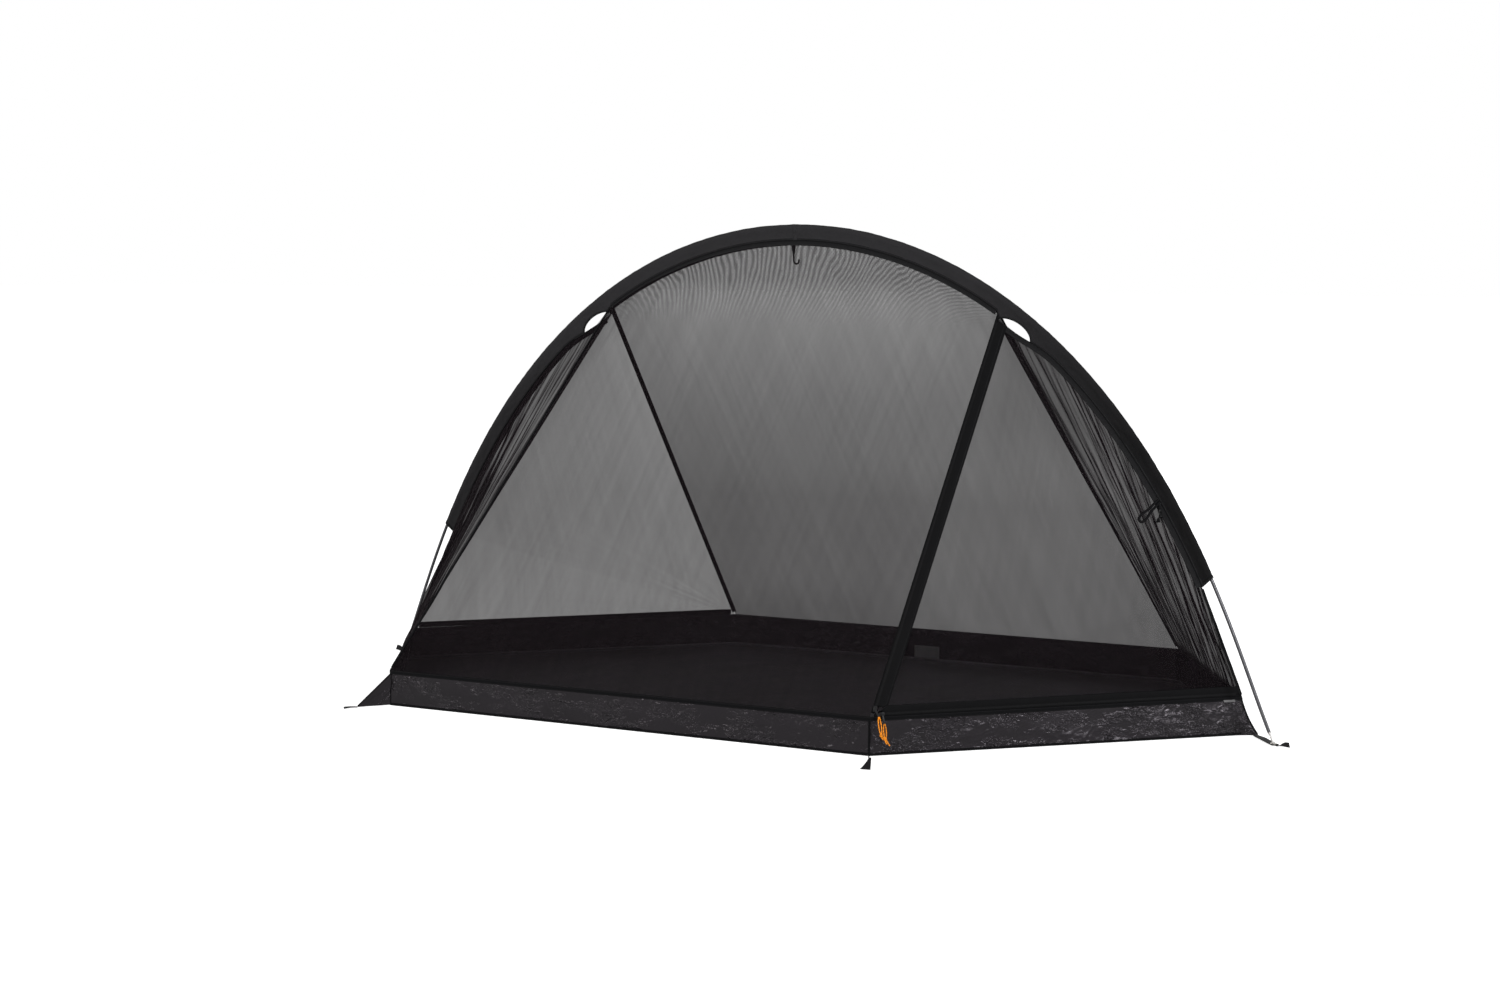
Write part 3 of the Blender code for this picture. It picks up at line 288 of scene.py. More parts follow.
class Signal:
    """Output of a node; arithmetic on it adds math nodes to its tree."""

    def __init__(self, socket):
        self.socket = socket
        self.tree = socket.id_data

    def __add__(self, other):
        return calc("ADD", self, other)

    def __sub__(self, other):
        return calc("SUBTRACT", self, other)

    def __rsub__(self, other):
        return calc("SUBTRACT", other, self)

    def __mul__(self, other):
        return calc("MULTIPLY", self, other)

    def __truediv__(self, other):
        return calc("DIVIDE", self, other)

    def __rtruediv__(self, other):
        return calc("DIVIDE", other, self)


def feed(item, inputs):
    for key, value in dict(inputs).items():
        if isinstance(value, Signal):
            value.tree.links.new(value.socket, item.inputs[key])
        else:
            item.inputs[key].default_value = value


def node(tree, kind, inputs=(), output=0, **settings):
    item = tree.nodes.new(kind)
    for key, value in settings.items():
        setattr(item, key, value)
    feed(item, inputs)
    return Signal(item.outputs[output])


def calc(operation, *values, clamp=False):
    tree = next(value.tree for value in values if isinstance(value, Signal))
    return node(tree, "ShaderNodeMath", enumerate(values), operation=operation, use_clamp=clamp)


def part(vector, axis):
    return node(vector.tree, "ShaderNodeSeparateXYZ", {"Vector": vector}, axis)


def mapping(source, scale=(1, 1, 1), rotation=(0, 0, 0)):
    inputs = {"Vector": source, "Scale": scale, "Rotation": rotation}
    return node(source.tree, "ShaderNodeMapping", inputs)


def noise_value(source, scale, detail=3.0, roughness=0.55, distortion=0.0):
    return node(source.tree, "ShaderNodeTexNoise", {
        "Vector": source, "Scale": scale, "Detail": detail, "Roughness": roughness,
        "Distortion": distortion})


def bands(source, scale, direction, distortion, detail=2.0):
    inputs = {"Vector": source, "Scale": scale, "Distortion": distortion, "Detail": detail}
    return node(source.tree, "ShaderNodeTexWave", inputs, "Fac", bands_direction=direction)


def remap(value, low, high, to_low=0.0, to_high=1.0):
    return node(value.tree, "ShaderNodeMapRange", {
        "Value": value, "From Min": low, "From Max": high, "To Min": to_low, "To Max": to_high})


def two_tone(factor, dark, light):
    """Mix of two colours, each a signal or three numbers."""
    dark, light = (v if isinstance(v, Signal) else (*v, 1.0) for v in (dark, light))
    inputs = {0: factor, 6: dark, 7: light}
    return node(factor.tree, "ShaderNodeMix", inputs, 2, data_type="RGBA")


def scaled(base, *factors):
    factors = factors if len(factors) == 3 else factors * 3
    return tuple(min(1.0, factor * v) for factor, v in zip(factors, base))


def new_material(name):
    """A material, its flat map in metres and the place in space of each point."""
    made = bpy.data.materials.new(name)
    made.use_nodes = True
    places = made.node_tree.nodes.new("ShaderNodeTexCoord").outputs
    return made, Signal(places["UV"]), Signal(places["Object"])


def dress(made, colour, roughness, gloss, bumps, extra=()):
    """Feed the shader; bumps are layers of (height, strength, distance in metres)."""
    inputs = {"Base Color": colour, "Roughness": roughness, "Specular IOR Level": gloss}
    for height, strength, distance in bumps:
        layer = {"Height": height, "Strength": strength, "Distance": distance}
        if "Normal" in inputs:
            layer["Normal"] = inputs["Normal"]
        inputs["Normal"] = node(made.node_tree, "ShaderNodeBump", layer)
    feed(made.node_tree.nodes["Principled BSDF"], {**inputs, **dict(extra)})
    return made


def net_material(name, clear, low, high, ripple=0.95, streaks=0.05):
    """Fine polyester net: holes let light through, fewer when seen aslant.

    low and high scale the holes at the foot and at the top of the panel. The
    rows of holes show near the apex, where one net is seen close behind another.
    """
    made, uv, where = new_material(name)
    height = part(where, "Z")
    facing = node(made.node_tree, "ShaderNodeLayerWeight", {"Blend": 0.5}, "Facing")
    cosine = calc("MAXIMUM", 1.0 - facing, 0.10)
    through = calc("POWER", clear, 1.0 / cosine) * remap(height, 0.45, 1.0, low, high)
    depth = remap(height, 0.90, 1.02, 0.04, ripple)
    rows = []
    for lean in (0.16, -0.22):
        turn = part(mapping(uv, rotation=(0, 0, lean)), "Y") * (FULL_TURN / NET_ROW)
        rows.append(calc("MULTIPLY_ADD", calc("SINE", turn), depth, 1.0))
    cells = node(made.node_tree, "ShaderNodeTexVoronoi", {
        "Vector": uv, "Scale": 660.0, "Randomness": 0.2}, "Distance")
    fine = noise_value(mapping(uv, (60.0, 2.0, 1.0)), 1.0, 3.0, 0.6)
    wide = noise_value(mapping(uv, (9.0, 1.1, 1.0)), 1.0, 2.0)
    streak = remap(fine, 0.3, 0.7, 1.0 - streaks, 1.0 + streaks) + remap(
        wide, 0.3, 0.7, -streaks / 2, streaks / 2)
    alpha = calc("SUBTRACT", 1.0, through * (rows[0] * rows[1]) * streak, clamp=True)
    colour = two_tone(remap(fine, 0.35, 0.65), (0.0062, 0.0047, 0.0056),
                      (0.0080, 0.0061, 0.0072))
    return dress(made, colour, 0.8, 0.03, [(cells, 0.3, 0.0003)], {"Alpha": alpha})


def ridge_value(source, scale, detail=2.0, narrow=14.0):
    """Crumpled height: narrow sharp crests on a flat ground, from 0 to 1."""
    value = noise_value(source, scale, detail, 0.55, 0.35)
    return calc("SUBTRACT", 1.0, calc("ABSOLUTE", value - 0.5) * narrow, clamp=True)


def coated_material(name, base, creases=1.0, roughness=0.225, gloss=0.15):
    """Coated nylon: close weave, a dull sheen and clusters of sharp small creases, with a painted
    highlight on their crests.
    """
    made, uv, _ = new_material(name)
    area = remap(noise_value(mapping(uv, (9.0, 16.0, 1.0)), 1.0, 3.0, 0.6), 0.44, 0.60, 0.05)
    leaning = mapping(uv, (1.0, 1.7, 1.0), (0, 0, 0.6))
    crossed = mapping(uv, (1.0, 1.5, 1.0), (0, 0, -0.7))
    wide, fine, small = (ridge_value(source, scale) * area for source, scale in (
        (leaning, 21.0), (crossed, 55.0), (leaning, 170.0)))
    threads = node(made.node_tree, "ShaderNodeTexBrick", {
        "Vector": uv, "Scale": 1500.0, "Mortar Size": 0.12, "Color1": (1, 1, 1, 1),
        "Color2": (0.8, 0.8, 0.8, 1), "Mortar": (0, 0, 0, 1)}, "Color")
    bumps = [(wide, creases, 0.0020), (fine, creases, 0.0009), (small, 0.8 * creases, 0.0003),
             (threads, 0.2, 0.0001)]
    shade = noise_value(mapping(uv, (5.0, 9.0, 1.0)), 1.0, 4.0, 0.6)
    # Lighter violet tone: partly random patches, partly a painted highlight along the crease crests.
    crease_highlight_and_tone = remap(shade * 0.7 + fine * 0.25, 0.25, 0.65)
    colour = two_tone(crease_highlight_and_tone, scaled(base, 0.78), scaled(base, 1.45, 1.35, 1.50))
    rough = remap(shade, 0.3, 0.7, roughness - 0.06, roughness + 0.10)
    return dress(made, colour, rough, gloss, bumps, {"Specular Tint": (1.0, 0.93, 1.0, 1.0)})


def woven_material(name, base, pitch=0.0011, roughness=0.72, lift=0.3, spread=0.25, gloss=0.08,
                   shade=None):
    """Plain matte woven cloth, with soft wear.

    shade names two distances along the cloth between which a painted shade darkens it.
    """
    made, uv, _ = new_material(name)
    across, down = (bands(uv, 0.314 / pitch, axis, 0.6, 1.0) for axis in "XY")
    weave = across * 0.5 + down * 0.5
    soft = noise_value(uv, 26.0, 4.0, 0.6)
    tone = remap(soft * 0.7 + weave * 0.3, 0.3, 0.7)
    colour = two_tone(tone, scaled(base, 1.0 - spread), scaled(base, 1.0 + spread))
    # Painted shade: between the two distances the colour darkens to a fifth of itself.
    if shade:
        colour = two_tone(remap(part(uv, "X"), *shade), colour, scaled(base, 0.2))
    rough = remap(soft, 0.3, 0.7, roughness - 0.07, roughness + 0.07)
    return dress(made, colour, rough, gloss, [(soft, 0.35, 0.0022), (weave, lift, 0.0003)])


def tape_material(name, base, stitches=(), gloss=0.10):
    """Woven tape with cross ribs and lines of stitches; V runs across it."""
    made, uv, _ = new_material(name)
    soft = noise_value(uv, 60.0, 3.0, 0.6)
    colour = two_tone(soft, scaled(base, 0.7), scaled(base, 1.4))
    bumps = [(bands(uv, 0.314 / TAPE_PITCH, "X", 0.8, 1.0), 0.35, 0.0003)]
    lines = [calc("LESS_THAN", calc("ABSOLUTE", part(uv, "Y") - place), 0.0005)
             for place in stitches]
    if lines:
        dash = calc("LESS_THAN", calc("FRACT", part(uv, "X") / STITCH_LENGTH), 0.68)
        stitch = calc("MAXIMUM", *lines) * dash
        colour = two_tone(stitch, colour, (0.012, 0.012, 0.0125))
        bumps.append((stitch, 0.8, 0.0004))
    return dress(made, colour, remap(soft, 0.3, 0.7, 0.62, 0.80), gloss, bumps)


def moulded_material(name, base, roughness=0.38, gloss=0.35):
    """Moulded plastic with a fine grain and a patchy tone."""
    made, _, where = new_material(name)
    wide = noise_value(where, 120.0, 3.0)
    rough = remap(wide, 0.3, 0.7, roughness - 0.08, roughness + 0.1)
    return dress(made, two_tone(wide, scaled(base, 0.8), scaled(base, 1.5)), rough, gloss,
                 [(noise_value(where, 900.0, 3.0), 0.25, 0.0002)])


def metal_material(name, base, roughness=0.33):
    """Drawn or turned metal with fine scuffs along it."""
    made, _, where = new_material(name)
    scuff = noise_value(mapping(where, (1, 1, 0.06)), 700.0, 3.0)
    wide = noise_value(where, 40.0, 3.0)
    rough = remap(scuff, 0.3, 0.7, roughness - 0.08, roughness + 0.12)
    return dress(made, two_tone(wide, scaled(base, 0.85), scaled(base, 1.15)), rough, 0.5,
                 [(scuff, 0.15, 0.0001)], {"Metallic": 1.0})


def braid_material(name, base, gloss=0.15):
    """Round braided cord: crossing strands, with painted shade in the valleys between them."""
    made, _, where = new_material(name)
    strands = calc("MAXIMUM", *(
        bands(mapping(where, rotation=turn), 420.0 / 6.28, "Z", 0.4)
        for turn in ((0.5, 0.6, 0.3), (-0.6, -0.5, 0.2))))
    # Painted shade: the valleys between the strands take half the cord's colour.
    return dress(made, two_tone(strands, scaled(base, 0.5), base), 0.62, gloss,
                 [(strands, 0.6, 0.0004)])


NET = net_material("net", 0.43, 0.94, 1.40)
NET_BACK = net_material("net_back_panel", 0.43, 0.56, 1.16)
NET_DOOR = net_material("net_door_panel", 0.43, 1.12, 1.02)
NET_RIGHT = net_material("net_right_panel", 0.26, 0.86, 1.02, 0.04, 0.16)
NET_LEFT = net_material("net_left_panel", 0.32, 0.90, 1.10, 0.04, 0.16)
WALL_CLOTH = coated_material("coated_wall", (0.0074, 0.0067, 0.0074), gloss=0.16)
FLOOR_CLOTH = coated_material("coated_floor", (0.048, 0.0475, 0.049), 0.4, 0.6, 0.12)
SLEEVE_CLOTH = woven_material("sleeve_cloth", (0.0165, 0.0160, 0.0172), spread=0.18)
# The right sleeve's copy carries a painted shade that darkens it along its length.
SLEEVE_PAINTED_SHADE = woven_material("sleeve_cloth_right", (0.0165, 0.0160, 0.0172), spread=0.18,
                             shade=(0.45, 1.00))
HEM_CLOTH = tape_material("hem_tape", (0.0042, 0.0042, 0.0046), (0.0018, 0.0102))
BINDING_CLOTH = tape_material("binding_tape", (0.0030, 0.0030, 0.0034), (0.0016, 0.0084), 0.04)
STORM_CLOTH = tape_material("storm_flap", (0.0030, 0.0030, 0.0033), (0.0022, 0.0218), 0.05)
ZIP_CLOTH = tape_material("zip_tape", (0.0030, 0.0030, 0.0033), gloss=0.04)
WEBBING = tape_material("webbing", (0.0085, 0.0085, 0.0092), (0.0022, 0.0158))
COIL = moulded_material("zip_coil", (0.0040, 0.0040, 0.0043), 0.45, 0.06)
BLACK = moulded_material("black_plastic", (0.0055, 0.0055, 0.0058), gloss=0.2)
POLE = metal_material("anodised_pole", (0.060, 0.060, 0.064), 0.34)
JOINT = metal_material("anodised_joint", (0.085, 0.085, 0.09), 0.30)
ALLOY = metal_material("turned_alloy", (0.34, 0.33, 0.32), 0.3)
BRASS = metal_material("plated_brass", (0.30, 0.29, 0.27), 0.36)
ORANGE = braid_material("orange_braid", (0.82, 0.27, 0.012))
BLACK_CORD = braid_material("black_braid", (0.0045, 0.0045, 0.0050), 0.04)
LABEL = woven_material("label_cloth", (0.13, 0.128, 0.13), 0.0006, 0.8, 0.2, 0.08)
PATCH = woven_material("inner_patch", (0.075, 0.075, 0.076), 0.0008, 0.8, 0.2, 0.12)

# Mesh builders


def field(points, scale, octaves=3, seed=0.0, stretch=(1.0, 1.0, 1.0)):
    """Gradient noise from about -1 to 1 at each point of an array."""
    flat = np.asarray(points, float).reshape(-1, points.shape[-1])
    if flat.shape[1] == 2:
        flat = np.concatenate([flat, np.zeros((len(flat), 1))], axis=1)
    flat = flat * scale * np.array(stretch) + seed
    values = [noise.fractal(Vector(p), 1.0, 2.0, octaves, noise_basis="PERLIN_NEW") for p in flat]
    return np.array(values).reshape(points.shape[:-1])


def flat_grid(across, down):
    return np.stack(np.broadcast_arrays(across, down), axis=-1)


def on_line(values, other=0.0):
    """Places for noise along a line of values."""
    return np.stack([values, 0 * values + other], axis=-1)


def grid_normals(points):
    return unit(np.cross(np.gradient(points, axis=0), np.gradient(points, axis=1)))


def grid_mesh(name, points, closed=False, plane=None):
    """Mesh of quads through a grid of points, with a UV map in metres.

    The map runs along the grid, or lies flat over the plane of two directions.
    """
    count, rows = points.shape[:2]
    spans = count if closed else count - 1
    i, j = (axis.ravel() for axis in np.indices((spans, rows - 1)))
    k = (i + 1) % count
    quads = np.stack([i * rows + j, k * rows + j, k * rows + j + 1, i * rows + j + 1], axis=1)
    data = bpy.data.meshes.new(name)
    data.from_pydata(points.reshape(-1, 3).tolist(), [], quads.tolist())
    if plane is None:
        middle = points[:, rows // 2]
        run = run_along(middle)
        steps = np.linalg.norm(np.diff(points, axis=1), axis=2)
        down = np.concatenate([np.zeros((count, 1)), np.cumsum(steps, axis=1)], axis=1)
        far = np.where(k == 0, run[-1] + np.linalg.norm(middle[0] - middle[-1]), run[k])
        uv = np.stack([run[i], down[i, j], far, down[k, j], far, down[k, j + 1], run[i],
                       down[i, j + 1]], axis=1)
    else:
        flat = points @ np.array(plane, float).T
        uv = np.concatenate([flat[i, j], flat[k, j], flat[k, j + 1], flat[i, j + 1]], axis=1)
    layer = data.uv_layers.new(name="UVMap")
    layer.data.foreach_set("uv", uv.astype(np.float32).ravel())
    data.polygons.foreach_set("use_smooth", [True] * len(data.polygons))
    data.update()
    return data


def put(name, data, finish):
    item = bpy.data.objects.new(name, data)
    item.data.materials.append(finish)
    bpy.context.scene.collection.objects.link(item)
    return item


def attach(item, body, replaces=""):
    """Hold a piece on its body; a piece for the body called fold has its transform baked into its mesh
    instead.
    """
    if body == "fold":
        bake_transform(item)
    else:
        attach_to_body(item, body)
    if replaces:
        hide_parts(*replaces.split())
    return item


def settle(item, kind, **settings):
    """Change a piece by one modifier and keep the result as its own mesh."""
    change = item.modifiers.new("change", kind)
    for key, value in settings.items():
        setattr(change, key, value)
    bpy.context.view_layer.update()
    graph = bpy.context.evaluated_depsgraph_get()
    made = bpy.data.meshes.new_from_object(item.evaluated_get(graph), depsgraph=graph)
    item.modifiers.clear()
    item.data = made


def cloth(name, points, finish, thickness=0.0, replaces="", body="tent", closed=False,
          plane=None):
    """A sheet through a grid of points."""
    item = put(name, grid_mesh(name, points, closed, plane), finish)
    if thickness:
        settle(item, "SOLIDIFY", thickness=thickness, offset=0.0)
    return attach(item, body, replaces)


def curve_line(name, points, radius, finish, body="tent", resolution=3, cyclic=False,
               replaces=""):
    """Round cord or wire along a line of points."""
    data = bpy.data.curves.new(name, "CURVE")
    data.dimensions = "3D"
    data.bevel_depth = radius
    data.bevel_resolution = resolution
    data.use_fill_caps = True
    spline = data.splines.new("POLY")
    spline.points.add(len(points) - 1)
    for target, point in zip(spline.points, points):
        target.co = (*point, 1.0)
    spline.use_cyclic_u = cyclic
    spline.use_smooth = True
    return attach(put(name, data, finish), body, replaces)


def smooth_path(points, count):
    """Even points on a smooth curve through a few, and its length."""
    points = np.asarray(points, float)
    padded = np.concatenate([[2 * points[0] - points[1]], points, [2 * points[-1] - points[-2]]])
    made = []
    for k in range(len(points) - 1):
        a, b, c, d = padded[k:k + 4]
        for t in np.linspace(0.0, 1.0, 24, endpoint=False):
            made.append(0.5 * (2 * b + (c - a) * t + (2 * a - 5 * b + 4 * c - d) * t**2
                               + (3 * b - a - 3 * c + d) * t**3))
    made = np.array([*made, points[-1]])
    run = run_along(made)
    places = np.linspace(0.0, run[-1], count)
    even = np.stack([np.interp(places, run, made[:, k]) for k in range(3)], axis=-1)
    return even, float(run[-1])


def from_bmesh(name, built, finish, place=None):
    bmesh.ops.recalc_face_normals(built, faces=built.faces)
    if place is not None:
        bmesh.ops.transform(built, matrix=place, verts=built.verts)
    data = bpy.data.meshes.new(name)
    built.to_mesh(data)
    built.free()
    return put(name, data, finish)


def shade_by_angle(item):
    data = item.data
    data.polygons.foreach_set("use_smooth", [True] * len(data.polygons))
    data.set_sharp_from_angle(angle=math.radians(40.0))


def turned_mesh(name, profile, place, body, steps, replaces=""):
    """Turned piece from (radius, height) points about the local Z of place."""
    built = bmesh.new()
    rings = []
    for radius, height in profile:
        ring = []
        for k in range(steps if radius else 1):
            turn = FULL_TURN * k / steps
            local = Vector((radius * math.cos(turn), radius * math.sin(turn), height))
            ring.append(built.verts.new(place @ local))
        rings.append(ring)
    for low, high in zip(rings, rings[1:]):
        for k in range(steps):
            quad = (low[k % len(low)], low[(k + 1) % len(low)],
                    high[(k + 1) % len(high)], high[k % len(high)])
            built.faces.new(list(dict.fromkeys(quad)))
    item = from_bmesh(name, built, BLACK)
    shade_by_angle(item)
    return attach(item, body, replaces)


def frame_matrix(origin, x_axis, z_axis):
    z = Vector(z_axis).normalized()
    x = Vector(x_axis)
    x = (x - z * x.dot(z)).normalized()
    return Matrix.Translation(Vector(origin)) @ Matrix((x, z.cross(x), z)).transposed().to_4x4()


def outline_prism(name, outline, low, high, place, body, bevel):
    """Flat moulded shape extruded along the local Z of place, with soft edges."""
    built = bmesh.new()
    face = built.faces.new([built.verts.new(Vector((x, y, low))) for x, y in outline])
    made = bmesh.ops.extrude_face_region(built, geom=[face])
    moved = [v for v in made["geom"] if isinstance(v, bmesh.types.BMVert)]
    bmesh.ops.translate(built, vec=Vector((0, 0, high - low)), verts=moved)
    item = from_bmesh(name, built, BLACK, place)
    settle(item, "BEVEL", width=bevel, segments=3, limit_method="ANGLE")
    shade_by_angle(item)
    return attach(item, body)


# Net panels


def fade_in(values, length):
    return clamp(values / length)


def calm_edges(u, v, power=1.0):
    return (np.sin(math.pi * u)[:, None] * np.sin(math.pi * v)[None, :]) ** power


def panel_plane(top, foot, turn):
    """Level direction and downward slope of a panel, for a flat map in metres."""
    slope = unit(foot - top)
    return np.array([square_to(np.array([1.0, 0.0, 0.0]), slope), slope]) @ turn.T


def main_panel(name, turn, seed, finish, replaces):
    """Slack net between the sleeve and the long wall, with soft upright folds."""
    u = evenly(221)
    v = evenly(111)
    points = ruled(MAIN, u, v)
    normals = grid_normals(points)
    where = flat_grid(u[:, None] * 1.2, v[None, :] * 0.9)
    side = clamp(np.sin(math.pi * u) * 4.0)[:, None]
    foot = v**2.2 * fade_in(1.0 - v, 0.03)
    top, high = (clamp(1.0 - v / depth) * fade_in(v, 0.02) for depth in (0.22, 0.30))
    lift = 0.0032 * field(where, 13.0, 3, seed, (1.0, 0.12, 1.0)) * foot * side
    lift += 0.004 * field(where, 3.0, 2, seed + 7.0) * calm_edges(u, v)
    lift += 0.0012 * field(where, 34.0, 2, seed + 3.0, (1.0, 0.15, 1.0)) * top * side
    lift += 0.0042 * field(where, 7.0, 2, seed + 11.0) * high * side
    lift -= 0.006 * calm_edges(u, v, 1.5)
    points = points - normals * lift[..., None] * np.sign(normals[110, 55, 1])
    # A row above the edge, kept out of the windows at the panel's two ends
    inside = 1.0 - clamp((np.abs(u - 0.5) - 0.49) / 0.01)
    raised = main_upper(u, -0.006 * inside, 0.0007)
    points = np.concatenate([raised[:, None, :], points], axis=1)
    return cloth(name, points @ turn.T, finish, replaces=replaces,
                 plane=panel_plane(main_upper(0.5), main_lower(0.5), turn))


def end_panel(name, turn, seed, finish, replaces):
    """Slack net at the tent's narrow end, hanging in curtain folds."""
    u = evenly(261)
    v = evenly(71)
    points = ruled(END, u, v)
    normals = grid_normals(points)
    share = 1.8 * (np.sin(math.pi * u)[:, None] ** 2) * (np.sin(math.pi * v)[None, :] ** 1.3)
    wave = np.sin(FULL_TURN * 7 * u)[:, None] + 0.5 * np.sin(
        FULL_TURN * (7 * 1.7 * u[:, None] + 0.6 * v[None, :]))
    where = flat_grid(u[:, None], v[None, :] * 0.6)
    small = field(where, 38.0, 3, seed, (1.0, 0.10, 1.0))
    drift = field(where, 6.0, 2, seed + 5.0, (1.0, 0.4, 1.0))
    edge = clamp(np.sin(math.pi * u) * 9.0)[:, None] * clamp(np.sin(math.pi * v) * 6.0)[None, :]
    lift = 0.0038 * np.minimum(1.0, share) * wave + (0.0058 * small + 0.004 * drift) * edge
    return cloth(name, (points - normals * lift[..., None]) @ turn.T, finish, replaces=replaces)


def fan_grid(inset, count=170, rows=80):
    """Grid over the door's fan, set in from its two straight edges."""
    corner = math.atan2(inset * math.sin(SPREAD), inset + inset * math.cos(SPREAD))
    start = math.asin(inset / float(fan_reach(inset / float(fan_reach(0.0)))))
    end = SPREAD - math.asin(inset / float(fan_reach(SPREAD)))
    near = int(count * 0.06)
    angles = np.concatenate([
        np.linspace(start, corner, near, endpoint=False), np.linspace(corner, end, count - near)])
    angles = np.unique(np.clip(angles, start, end))
    inner = np.maximum(inset / np.sin(angles), inset / np.sin(np.maximum(SPREAD - angles, 1e-6)))
    reach = net_reach(angles)
    inner = np.minimum(inner, reach)
    distance = inner[:, None] + (reach - inner)[:, None] * evenly(rows + 1)
    spokes = unit(fan_edge(angles) - CORNER)
    return CORNER + spokes[:, None, :] * distance[..., None], angles, distance


def door_slack(inset, seed):
    """The door's fan with a soft sag and small drapes that spread from its free corner."""
    points, angles, distance = fan_grid(inset)
    u = (angles / SPREAD)[:, None]
    v = distance / distance.max(axis=1, keepdims=True)
    where = flat_grid(u * 0.9, v * 0.9)
    drape = field(where, 14.0, 3, seed, (1.0, 0.12, 1.0))
    wide = field(where, 3.5, 2, seed + 2.0)
    calm = np.sin(math.pi * clamp(u)) * np.sin(math.pi * clamp(v))
    calm = clamp(calm * 2.2)
    lift = (0.0010 * drape + 0.0025 * wide) * calm - 0.004 * calm
    return points + grid_normals(points) * lift[..., None]


def make_net():
    plane = panel_plane((FAN_EDGE[0] + FAN_EDGE[FAN_STEPS]) / 2, (CORNER + FAN_EDGE[-1]) / 2, STILL)
    main, end, triangle = (1.21, 1.20, 1.19), (0.92, 0.67, 0.385), (0.92, 0.90, 0.43)
    for item, (width, height, area) in (
            (main_panel("net_front", STILL, 1.3, NET, "mesh_front"), main),
            (main_panel("net_back", HALF, 21.7, NET_BACK, "mesh_back"), main),
            (end_panel("net_right_end", STILL, 3.1, NET_RIGHT, "mesh_right_end"), end),
            (end_panel("net_left_end", HALF, 17.9, NET_LEFT, "mesh_left_end"), end),
            (cloth("net_door", door_slack(0.0072, 5.5), NET_DOOR, body="fold", plane=plane,
                   replaces="door_mesh door_fold_strip"), triangle),
            (cloth("net_back_left", door_slack(0.0010, 31.0) @ HALF.T, NET,
                   replaces="mesh_back_left", plane=plane @ HALF.T), triangle)):
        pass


# Floor and walls


def perimeter(corners, step):
    """Even points round a closed outline, with softly rounded corners."""
    lengths = np.linalg.norm(np.roll(FLOOR, -1, axis=0) - FLOOR, axis=1)
    counts = np.round(lengths / step).astype(int)
    points = np.concatenate([lerp(a, b, np.arange(count) / count) for a, b, count in zip(
        corners, np.roll(corners, -1, axis=0), counts)])
    for _ in range(2):
        points = sum(np.roll(points, shift, axis=0) * weight / 9.0
                     for shift, weight in ((-2, 1), (-1, 2), (0, 3), (1, 2), (2, 1)))
    return points


def crease(run, height, start, end):
    """Soft ridge along a straight line on the wall, ending in a fade."""
    (x0, y0), (x1, y1) = start, end
    length = math.hypot(x1 - x0, y1 - y0)
    ax, ay = (x1 - x0) / length, (y1 - y0) / length
    along = (run - x0) * ax + (height - y0) * ay
    across = (run - x0) * ay - (height - y0) * ax
    fade = fade_in(along, 0.03) * fade_in(length - along, 0.02)
    return clamp(1.0 - np.abs(across) / CREASE_WIDTH) * fade


def seam_rows(line, up, places):
    """Tape along a closed line on the walls; places are (rise, lift) of its rows."""
    along = unit(np.roll(line, -1, axis=0) - np.roll(line, 1, axis=0))
    out = unit(np.cross(along, up))
    return np.stack([line + up * rise + out * lift for rise, lift in places], axis=1)


